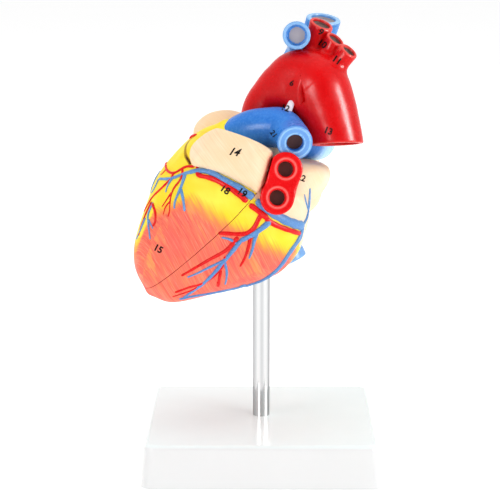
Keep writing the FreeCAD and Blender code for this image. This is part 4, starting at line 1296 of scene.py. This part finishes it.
ra = inter(leaf(f_right_auricle), union(minus(f_gapA), minus(f_gapB), minus(f_gapC)), minus(lambda P: f_heart(P) + 1.6))
v_ra = build("right_auricle_skin", ra, vec(-38, -4, 150), vec(8, 36, 184), FINE, "heart_rear")
P = points_of(v_ra)
put(v_ra, "across", 0.75 * P[:, 0] + 0.5 * P[:, 2] + 0.3 * P[:, 1] + 0.6 * noise3(P, 0.1, 5.0))
put(v_ra, "along", -0.5 * P[:, 0] + 0.8 * P[:, 2])
# painted shade on the second lobe: above 0 where a point is nearer it than the main lobe
put(v_ra, "second_lobe_shade", np.clip((f_ra1(P) - f_ra2(P)) / 1.5, -1, 1))
dress(v_ra, CREAM)
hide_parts("right_auricle")

# ------------------------------------------------------------------ coronary vessels, laid along the surface
def tree_of(*objs):
    V_, F_ = [], []
    n = 0
    for ob in objs:
        p = points_of(ob)
        V_ += [Vector(x) for x in p]
        F_ += [tuple(i + n for i in q.vertices) for q in ob.data.polygons]
        n = len(V_)
    return BVHTree.FromPolygons(V_, F_)


HEART_TREE = tree_of(heart_front, heart_rear)
CENTRE_PX = (215.0, 215.0)


def hit(u, v, tree=None):
    """The first place on the heart's surface behind a place in the frame, in mm."""
    for k in range(60):
        p, n, i, d = (tree or HEART_TREE).ray_cast(Vector(CAM), Vector(ray(u, v)))
        if p is not None:
            return vec(*p), vec(*n)
        u += (CENTRE_PX[0] - u) * 0.012
        v += (CENTRE_PX[1] - v) * 0.012
    return None, None


def in_front(P):
    P = np.atleast_2d(P)
    return (PLANE_A(P) + GAP / 2 < GAP) & (PLANE_B(P) < GAP / 2) & (PLANE_C(P) < GAP / 2)


def along_px(points, step=0.7):
    p = catmull([vec(*q[:2]) for q in points], 14)
    L = np.concatenate([[0], np.cumsum(np.linalg.norm(np.diff(p, axis=0), axis=1))])
    t = np.arange(0, L[-1], step)
    q = np.stack([np.interp(t, L, p[:, 0]), np.interp(t, L, p[:, 1])], 1)
    out = []
    for u, v in q:
        h, n = hit(u, v)
        if h is not None:
            out.append(h)
    return np.array(out)


def along_heart(points, step=0.45):
    """A route given as (s, angle) places, dropped on to the heart from outside."""
    p = catmull([vec(*q) for q in points], 24)
    out = []
    for s_, th in p:
        r = math.radians(th)
        d = E1 * math.cos(r) + E2 * math.sin(r)
        o = at(s_, 0, 0) + d * 80
        h, n, i, dist = HEART_TREE.ray_cast(Vector(o), Vector(-d))
        if h is not None and dist < 79:
            out.append(vec(*h))
    return np.array(out)


def resample(p, step=0.45):
    L = np.concatenate([[0], np.cumsum(np.linalg.norm(np.diff(p, axis=0), axis=1))])
    t = np.linspace(0, L[-1], max(3, int(L[-1] / step)))
    return np.stack([np.interp(t, L, p[:, i]) for i in range(3)], 1)


class Bag:
    """Collects meshes that become one piece."""
    def __init__(self):
        self.v, self.f, self.n = [], [], 0

    def add(self, v, f):
        self.v += [tuple(x) for x in v]
        self.f += [tuple(i + self.n for i in q) for q in f]
        self.n += len(v)


BAGS = {(b, c): Bag() for b in ("heart_front", "heart_rear") for c in ("red", "blue")}
RING = 10


def ribbon(c, nrm, w, hgt):
    """Verts and faces of a flattened bar lying on the surface: c centres, nrm surface normals, w widths, hgt heights."""
    t = np.gradient(c, axis=0)
    t /= np.maximum(np.linalg.norm(t, axis=1, keepdims=True), 1e-9)
    n = nrm - (nrm * t).sum(1, keepdims=True) * t
    n /= np.maximum(np.linalg.norm(n, axis=1, keepdims=True), 1e-9)
    b = np.cross(t, n)
    v = []
    for k in range(RING):
        a = math.tau * k / RING
        ca, sa = math.cos(a), math.sin(a)
        up = hgt * (sa if sa > 0 else 0.75 * sa)
        v.append(c + b * (w * 0.5 * ca)[:, None] + n * up[:, None])
    v = np.stack(v, 1).reshape(-1, 3)
    m = len(c)
    f = [(i * RING + k, (i + 1) * RING + k, (i + 1) * RING + (k + 1) % RING, i * RING + (k + 1) % RING) for i in range(m - 1) for k in range(RING)]
    f.append(tuple(range(RING)))
    f.append(tuple((m - 1) * RING + k for k in range(RING))[::-1])
    return v, f


def cut_mesh(v, f, planes):
    """Keeps what lies on the negative side of each plane (point, normal) and closes the cut."""
    bm = bmesh.new()
    vs = [bm.verts.new(x) for x in v]
    for q in f:
        try:
            bm.faces.new([vs[i] for i in q])
        except ValueError:
            pass
    for co, no in planes:
        r = bmesh.ops.bisect_plane(bm, geom=bm.verts[:] + bm.edges[:] + bm.faces[:], plane_co=Vector(co), plane_no=Vector(no), clear_outer=True, dist=1e-5)
        e = [x for x in r["geom_cut"] if isinstance(x, bmesh.types.BMEdge)]
        if e:
            bmesh.ops.holes_fill(bm, edges=e, sides=0)
    bm.verts.index_update()
    out = [tuple(x.co) for x in bm.verts], [tuple(x.index for x in q.verts) for q in bm.faces]
    bm.free()
    return out


def vessel_on_heart(colour, c, w0, w1, lift=0.42, taper=1.0, wmid=None):
    if len(c) < 4:
        return
    c = resample(c)
    for _ in range(5):
        c[1:-1] = 0.25 * c[:-2] + 0.5 * c[1:-1] + 0.25 * c[2:]
    nr = np.zeros_like(c)
    for i in range(len(c)):
        p, n, k, d = HEART_TREE.find_nearest(Vector(c[i]))
        if (vec(*n) @ (c[i] - O)) < 0 and d > 0.4:
            n = -n
        c[i], nr[i] = vec(*p), vec(*n)
    for _ in range(10):
        nr[1:-1] = 0.25 * nr[:-2] + 0.5 * nr[1:-1] + 0.25 * nr[2:]
    t = np.linspace(0, 1, len(c)) ** taper
    w = (w0 + (w1 - w0) * t) * (1 + 0.06 * np.sin(np.arange(len(c)) * 0.45 * 0.9 + c[0, 0]))
    ends = np.minimum(np.arange(len(c)), np.arange(len(c))[::-1]) * 0.45
    w = w * np.sqrt(np.clip(0.30 + 1.6 * ends / np.maximum(w, 0.3), 0.30, 1))
    hgt = np.minimum(w * lift, 1.35)
    fr = in_front(c)
    runs = []
    i = 0
    while i < len(c):
        j = i
        while j + 1 < len(c) and fr[j + 1] == fr[i]:
            j += 1
        runs.append((i, j))
        i = j + 1
    runs = [r for r in runs if r[1] - r[0] >= 2]
    for i, j in runs:
        a, b = max(0, i - 6), min(len(c) - 1, j + 6)
        if b - a < 3:
            continue
        v, f = ribbon(c[a:b + 1], nr[a:b + 1], w[a:b + 1], hgt[a:b + 1])
        planes = []
        if len(runs) > 1 or a < i or b > j:
            ctr = c[(i + j) // 2]
            for fn, n, p0 in ((PLANE_A, -NA, NA * DA), (PLANE_B, NB, PB), (PLANE_C, NC, PC)):
                if fr[i]:
                    planes.append((p0, n))
                else:
                    near = any(0 <= k < len(c) and abs(fn(c[k:k + 1])[0]) < 1.2 and fr[k] != fr[i] for k in (i - 1, j + 1))
                    if near and fn(ctr[None])[0] > 0:
                        planes.append((p0 + n * GAP, -n))
        if planes:
            v, f = cut_mesh(v, f, planes)
        if len(f) > 3:
            BAGS[("heart_front" if fr[i] else "heart_rear", colour)].add(v, f)


K = 0.513                 # mm in one pixel of the frame, at the heart
PX_ROUTES = [
    # colour, first width and last width in pixels, places in the frame
    ("blue", 4.4, 7.6, [(189, 172.5), (196, 170.8), (206, 171.3), (215, 174.3), (225, 180.2), (239, 187.5), (248, 194.0), (253.5, 197.5)]),
    ("blue", 5.0, 5.0, [(207, 170.6), (212.5, 170.4), (217, 172.2)]),
    ("blue", 8.4, 9.6, [(256.5, 200.5), (263, 206), (273, 213), (285, 220), (295, 224), (303, 226)]),
    ("red", 4.4, 6.0, [(196.5, 172.5), (198.5, 175), (206, 176.9), (213, 178.9), (226, 185.6), (239, 194.5), (247, 201.8)]),
    ("red", 5.4, 5.8, [(249.5, 204.5), (257, 210), (263, 214.8), (268, 219.2)]),
    ("red", 5.4, 4.6, [(265.5, 217.5), (269, 221), (275, 224.6), (284, 228.4), (300, 233.6)]),
    ("red", 5.2, 3.6, [(262.5, 213.5), (259.5, 217.5), (257, 222.5), (254, 228), (249, 232), (243, 234), (229, 233.6), (218, 233)]),
    ("blue", 6.2, 5.0, [(271, 220.5), (264, 226.5), (258, 231), (249, 236.5), (240, 241)]),
    ("blue", 4.6, 2.8, [(241, 240.5), (231, 253), (225, 260), (215, 272), (204, 283), (193, 291), (183, 298)]),
    ("blue", 3.4, 2.0, [(236.5, 243), (229, 239), (221, 237.5)]),
    ("blue", 3.2, 1.8, [(225, 260), (210, 267), (198, 273), (187, 277.5)]),
    ("blue", 3.0, 1.6, [(224.5, 262), (226.6, 270), (226.6, 278), (225, 285)]),
    ("blue", 4.2, 2.0, [(257.5, 232), (254.5, 240), (252.5, 249), (249, 259)]),
    ("red", 4.4, 2.2, [(238, 237), (233, 243), (228, 249), (207, 261), (187, 272.6), (181, 276)]),
    ("red", 2.4, 1.4, [(206, 283), (192, 290), (172, 297)]),
    ("red", 3.2, 2.4, [(226, 256), (224, 263), (217, 273), (204, 283), (190, 287), (175, 292.5)]),
    ("red", 4.0, 2.2, [(250, 235), (250, 239), (246, 255), (240, 267)]),
    ("red", 2.6, 3.6, [(221, 270), (219.6, 277), (218, 287)]),
    ("blue", 6.2, 3.4, [(302, 226), (300, 236), (291, 250), (279, 267), (267, 277), (253, 283), (218, 291.5), (190, 296.5), (179, 299)]),
    ("blue", 4.2, 1.8, [(302, 226), (306, 219), (308, 211), (309.5, 200), (310, 188)]),
    ("blue", 2.6, 1.2, [(308, 210), (306, 202), (304.5, 194)]),
    # round the front groove
    ("red", 2.6, 2.8, [(165.6, 162), (166.7, 169.7), (170.9, 172.8), (174.7, 172.8), (186.2, 166.7), (195, 166.5)]),
    ("red", 5.0, 3.2, [(196, 167.6), (198.6, 166.6), (200.5, 164.6)]),
    ("red", 2.2, 1.4, [(166.6, 169), (163.5, 172.5), (160.6, 175)]),
    ("blue", 2.6, 3.6, [(159, 178.9), (170.9, 178.5), (184.7, 173.6), (195.4, 170.6)]),
    ("blue", 3.2, 1.8, [(172.9, 178.2), (170.2, 181.4), (167.5, 186.6), (165.6, 192.7)]),
    ("blue", 4.0, 2.0, [(185.4, 173.6), (181.6, 185.8), (179.7, 190.4), (174.7, 202.6), (174.4, 208.8)]),
    ("blue", 3.6, 2.4, [(180.6, 188.6), (181.6, 191.9), (183.5, 201.1), (184.7, 211.5)]),
    ("red", 2.8, 1.5, [(182.4, 169), (182.4, 175.1), (179.3, 181.2), (174, 188.1), (171.7, 193.5), (170.1, 201.1), (169.4, 211.8), (167.8, 217.2)]),
    ("red", 2.2, 1.3, [(171.5, 192.5), (166.3, 200.3), (161.7, 207.2)]),
    ("red", 2.0, 1.3, [(170.3, 201.1), (165.2, 207.5), (163.3, 214.9)]),
    ("red", 2.8, 2.4, [(173.5, 172.5), (172.4, 176.6), (168.6, 181.2), (161.7, 188.1), (152.5, 197.3), (144.1, 211.8)]),
    ("blue", 2.8, 1.8, [(159, 178.9), (156.4, 185), (151.4, 193.5)]),
    ("blue", 3.2, 1.8, [(153.3, 202.6), (148.7, 213.3), (148, 218.7), (149.5, 233.2), (150.2, 239.4)]),
    ("blue", 2.4, 1.4, [(148.4, 219.5), (150.2, 223), (153.3, 229.4)]),
    ("red", 3.8, 2.4, [(152.6, 203.5), (155.6, 214.1), (154.8, 223.3), (152.5, 226.4)]),
    ("red", 3.4, 1.8, [(151.8, 201.9), (146, 214), (141, 227), (138.8, 236.3)]),
    ("blue", 3.2, 1.8, [(145.5, 218), (142.6, 225.6), (136.5, 239.4)]),
    ("red", 3.6, 4.2, [(190, 137.6), (193, 136.2), (196.6, 134.8)]),
]
for col, w0, w1, pts in PX_ROUTES:
    vessel_on_heart(col, along_px(pts), w0 * K, w1 * K)

# the sides that the photograph doesn't show: places as (distance down the axis, angle round it)
HEART_ROUTES = [
    ("red", 2.6, 2.4, [(-6.0, 38), (-1.5, 52), (3.5, 70), (4.5, 90), (4.5, 110), (4.0, 130), (3.5, 150), (4.5, 166), (5.5, 185)]),
    ("blue", 3.2, 3.8, [(6.0, 84), (7.6, 100), (7.8, 118), (7.0, 136), (6.0, 152), (4.5, 168)]),
    ("blue", 3.8, 3.6, [(4.5, 168), (4.2, 184)]),
    ("red", 2.2, 0.6, [(4.5, 92), (12, 94), (24, 92), (36, 86), (48, 84), (60, 80)]),
    ("red", 1.4, 0.5, [(22, 92.5), (30, 100), (40, 104), (50, 104)]),
    ("blue", 2.2, 0.6, [(7.2, 100), (18, 101), (30, 98), (42, 96), (54, 92)]),
    ("red", 1.5, 0.5, [(2.5, 66), (12, 62), (22, 56), (32, 54)]),
    ("blue", 1.5, 0.5, [(4.5, 76), (14, 72), (26, 68), (36, 68)]),
    ("red", 1.9, 0.7, [(4.4, 164), (10, 168), (20, 170), (34, 171), (48, 173), (62, 176)]),
    ("red", 1.3, 0.5, [(18, 169.6), (26, 162), (36, 156), (46, 154)]),
    ("red", 1.3, 0.5, [(32, 171), (40, 163), (50, 158)]),
    ("blue", 1.6, 0.5, [(7.2, 130), (18, 134), (30, 136), (42, 140)]),
    ("red", 1.3, 0.5, [(-1.5, 48), (-4, 38), (-3, 32), (2, 27)]),
    ("red", 1.5, 0.6, [(20, 26), (30, 32), (42, 34), (52, 38)]),
    ("blue", 1.4, 0.5, [(24, 22), (36, 27), (48, 30), (60, 34)]),
    ("red", 1.9, 0.7, [(30, 24), (42, 26), (54, 26), (66, 24), (74, 22)]),
    ("blue", 1.9, 0.7, [(33, 18), (44, 19), (56, 20), (68, 19)]),
]
for col, w0, w1, pts in HEART_ROUTES:
    vessel_on_heart(col, along_heart(pts), w0, w1)

CORONARY = []
for (body, colour), bag in BAGS.items():
    if not bag.v:
        continue
    ob = mesh_object("coronary_%s_%s" % (colour, body.split("_")[1]), bag.v, bag.f, body, 50.0)
    dress(ob, COR_RED if colour == "red" else COR_BLUE)
    put(ob, "rim", np.zeros(len(ob.data.vertices)))
    CORONARY.append(ob)
    say(ob.name, len(ob.data.vertices))

# ------------------------------------------------------------------ key numbers, printed on the surface
NUMBERS = [("6", (292, 83), 6.2, -25, 0), ("9", (321, 32), 7.0, -35, 0), ("10", (323, 44), 7.0, -35, 0), ("11", (337, 60), 7.0, -35, 0), ("13", (329, 131), 6.8, -20, 0), ("12", (286, 108), 6.5, -20, 0),
           ("21", (273.5, 133.5), 5.4, -55, 0), ("14", (236, 152), 8.0, -10, 0.45), ("15", (159.0, 249), 7.0, -28, 0), ("18", (226, 190), 7.5, -35, 0), ("19", (243, 193), 7.5, -35, 0), ("22", (301.5, 177.5), 6.4, -20, 0)]
NUM_ON = [heart_front, heart_rear, v_arch, v_asc, v_pt, v_la, v_ra, v_svc, v_lpv, v_lig] + CORONARY
NUM_TREES = [(ob, tree_of(ob)) for ob in NUM_ON]
ink = {}
for text, (u0, v0), size, turn, lean in NUMBERS:
    cu = bpy.data.curves.new("t", "FONT")
    cu.body = text
    cu.size = 1.0
    cu.align_x = cu.align_y = "CENTER"
    cu.resolution_u = 6
    cu.offset = 0.030
    to = bpy.data.objects.new("t", cu)
    bpy.context.scene.collection.objects.link(to)
    me = bpy.data.meshes.new_from_object(to.evaluated_get(bpy.context.evaluated_depsgraph_get()))
    bpy.data.objects.remove(to)
    bm = bmesh.new()
    bm.from_mesh(me)
    bpy.data.meshes.remove(me)
    bpy.data.curves.remove(cu)
    bmesh.ops.triangulate(bm, faces=bm.faces[:])
    for _ in range(2):
        bmesh.ops.subdivide_edges(bm, edges=[e for e in bm.edges if e.calc_length() > 0.10], cuts=1)
    bmesh.ops.triangulate(bm, faces=bm.faces[:])
    ys = [x.co.y for x in bm.verts]
    xs = [x.co.x for x in bm.verts]
    k = size / (max(ys) - min(ys))
    cy, cx = (max(ys) + min(ys)) / 2, (max(xs) + min(xs)) / 2
    ca, sa = math.cos(math.radians(turn)), math.sin(math.radians(turn))
    on = None
    best = 1e9
    trees = NUM_TREES if text != "22" else [q for q in NUM_TREES if q[0] is heart_rear]
    for ob, tree in trees:
        p, n, i, d = tree.ray_cast(Vector(CAM), Vector(ray(u0, v0)))
        if p is not None and d < best:
            best, on, on_tree = d, ob, tree
    vs = []
    ok = True
    for x in bm.verts:
        a, b = (x.co.x - cx + lean * (x.co.y - cy)) * k, (x.co.y - cy) * k
        a, b = a * ca - b * sa, a * sa + b * ca
        p, d = None, 1e9
        for ob_, tree_ in trees:
            if ob_["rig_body"] == on["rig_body"]:
                p_, n_, i_, d_ = tree_.ray_cast(Vector(CAM), Vector(ray(u0 + a, v0 - b)))
                if p_ is not None and d_ < d:
                    p, n, d = p_, n_, d_
        if p is None:
            p, n, i, d = on_tree.ray_cast(Vector(CAM), Vector(ray(u0 + a * 0.6, v0 - b * 0.6)))
            ok = False
        if p is not None and vec(*n) @ ray(u0 + a, v0 - b) > 0:
            n = -n
        q = vec(*p) + vec(*n) * 0.09 if p is not None else vec(0, 0, 150)
        vs.append(q)
    bm.verts.index_update()
    fs = [tuple(x.index for x in f.verts) for f in bm.faces]
    bm.free()
    say("number", text, "on", on.name, "whole" if ok else "partly off")
    ink.setdefault(on["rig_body"], Bag()).add(vs, fs)
for body, bag in ink.items():
    ob = mesh_object("key_numbers_" + body.split("_")[1], bag.v, bag.f, body, None)
    dress(ob, INK)

# ------------------------------------------------------------------ nodes that are shown as they are
LOOK = {"base_shell": BASE, "base_plate": PLATE, "base_screws": STEEL, "support_rod": CHROME, "rod_sleeve": BRASS, "front_magnets": NICKEL, "rear_magnets": NICKEL,
        "mitral_valve": IVORY, "tricuspid_valve": IVORY, "aortic_valve": IVORY, "pulmonary_valve": IVORY, "left_papillary_muscles": MUSCLE_IN, "right_papillary_muscles": MUSCLE_IN}
for n, m in LOOK.items():
    dress(frame["nodes"][n], m)
for n, ob in frame["nodes"].items():             # replaced nodes aren't shown, but they carry a finish as well
    if n not in LOOK:
        dress(ob, {"left_auricle": CREAM, "right_auricle": CREAM}.get(n, HEART))

# ------------------------------------------------------------------ floor, light
def sheet(name, size, at_, rot=(0, 0, 0)):
    me = bpy.data.meshes.new(name)
    h = size / 2
    me.from_pydata([(-h, -h, 0), (h, -h, 0), (h, h, 0), (-h, h, 0)], [], [(0, 1, 2, 3)])
    ob = bpy.data.objects.new(name, me)
    bpy.context.scene.collection.objects.link(ob)
    ob.location = at_
    ob.rotation_euler = rot
    ob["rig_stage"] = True
    return ob


g = Graph("floor_white")
g.set(Base_Color=rgb(255, 255, 255), Roughness=0.9, Emission_Color=rgb(255, 255, 255), Emission_Strength=0.30)
g.b.inputs["Specular IOR Level"].default_value = 0.0
FLOOR = g.mat
floor = sheet("floor", 60.0, (0, 0, 0))
dress(floor, FLOOR)

w = bpy.data.worlds.new("white_room")
w.use_nodes = True
nt = w.node_tree
nt.nodes.clear()
out = nt.nodes.new("ShaderNodeOutputWorld")
bg = nt.nodes.new("ShaderNodeBackground")
bg.inputs["Strength"].default_value = 0.85
nt.links.new(bg.outputs[0], out.inputs[0])
# a bright studio with darker bands at the sides, which draw the rod's edges
tc = nt.nodes.new("ShaderNodeTexCoord")
sep = nt.nodes.new("ShaderNodeSeparateXYZ")
nt.links.new(tc.outputs["Generated"], sep.inputs[0])
at2 = nt.nodes.new("ShaderNodeMath"); at2.operation = "ARCTAN2"
nt.links.new(sep.outputs[0], at2.inputs[0])
nt.links.new(sep.outputs[1], at2.inputs[1])
mr = nt.nodes.new("ShaderNodeMapRange")
mr.inputs["From Min"].default_value = -math.pi
mr.inputs["From Max"].default_value = math.pi
nt.links.new(at2.outputs[0], mr.inputs["Value"])
cr = nt.nodes.new("ShaderNodeValToRGB")
stops = [(0.0, 0.20), (0.07, 0.22), (0.15, 0.80), (0.26, 1.0), (0.40, 1.0), (0.50, 1.0), (0.60, 1.0), (0.74, 1.0), (0.85, 0.80), (0.93, 0.22), (1.0, 0.20)]
e = cr.color_ramp.elements
while len(e) < len(stops):
    e.new(0.5)
for i, (p_, c_) in enumerate(stops):
    e[i].position = p_
    e[i].color = (c_, c_, c_, 1)
nt.links.new(mr.outputs["Result"], cr.inputs[0])
nt.links.new(cr.outputs[0], bg.inputs["Color"])
bpy.context.scene.world = w


def area(name, loc, target, size, power, size_y=None):
    la_ = bpy.data.lights.new(name, "AREA")
    la_.energy = power
    la_.shape = "RECTANGLE"
    la_.size = size
    la_.size_y = size_y or size
    ob = bpy.data.objects.new(name, la_)
    bpy.context.scene.collection.objects.link(ob)
    ob.location = loc
    ob.rotation_euler = (Vector(target) - Vector(loc)).to_track_quat("-Z", "Y").to_euler()
    return ob


for soft in (area("key", (-1.25, -0.98, 0.80), (0, 0, 0.15), 0.9, 5.5),
             area("fill", (1.25, -0.95, 0.60), (0, 0, 0.15), 0.9, 8.5),
             area("top", (0.0, 0.0, 1.6), (0, 0, 0.1), 1.2, 7.5)):
    soft.visible_glossy = False
# tall softboxes that only draw the gloss, as upright streaks
for name_, az, pw in (("box_left", -30, 22.0), ("box_right", 68, 62.0)):
    a_ = math.radians(az)
    ob_ = area(name_, (1.5 * math.sin(a_), -1.5 * math.cos(a_), 0.52), (0, 0, 0.19), 0.42, pw, 0.7)
    ob_.visible_diffuse = False

vs_ = bpy.context.scene.view_settings
vs_.view_transform = "Standard"
vs_.look = "None"
vs_.exposure = 0.0
vs_.gamma = 1.0

size = {"cad_box": CAD_BOX, "visual_box": [list(map(float, c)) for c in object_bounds()]}
say("sizes", size)
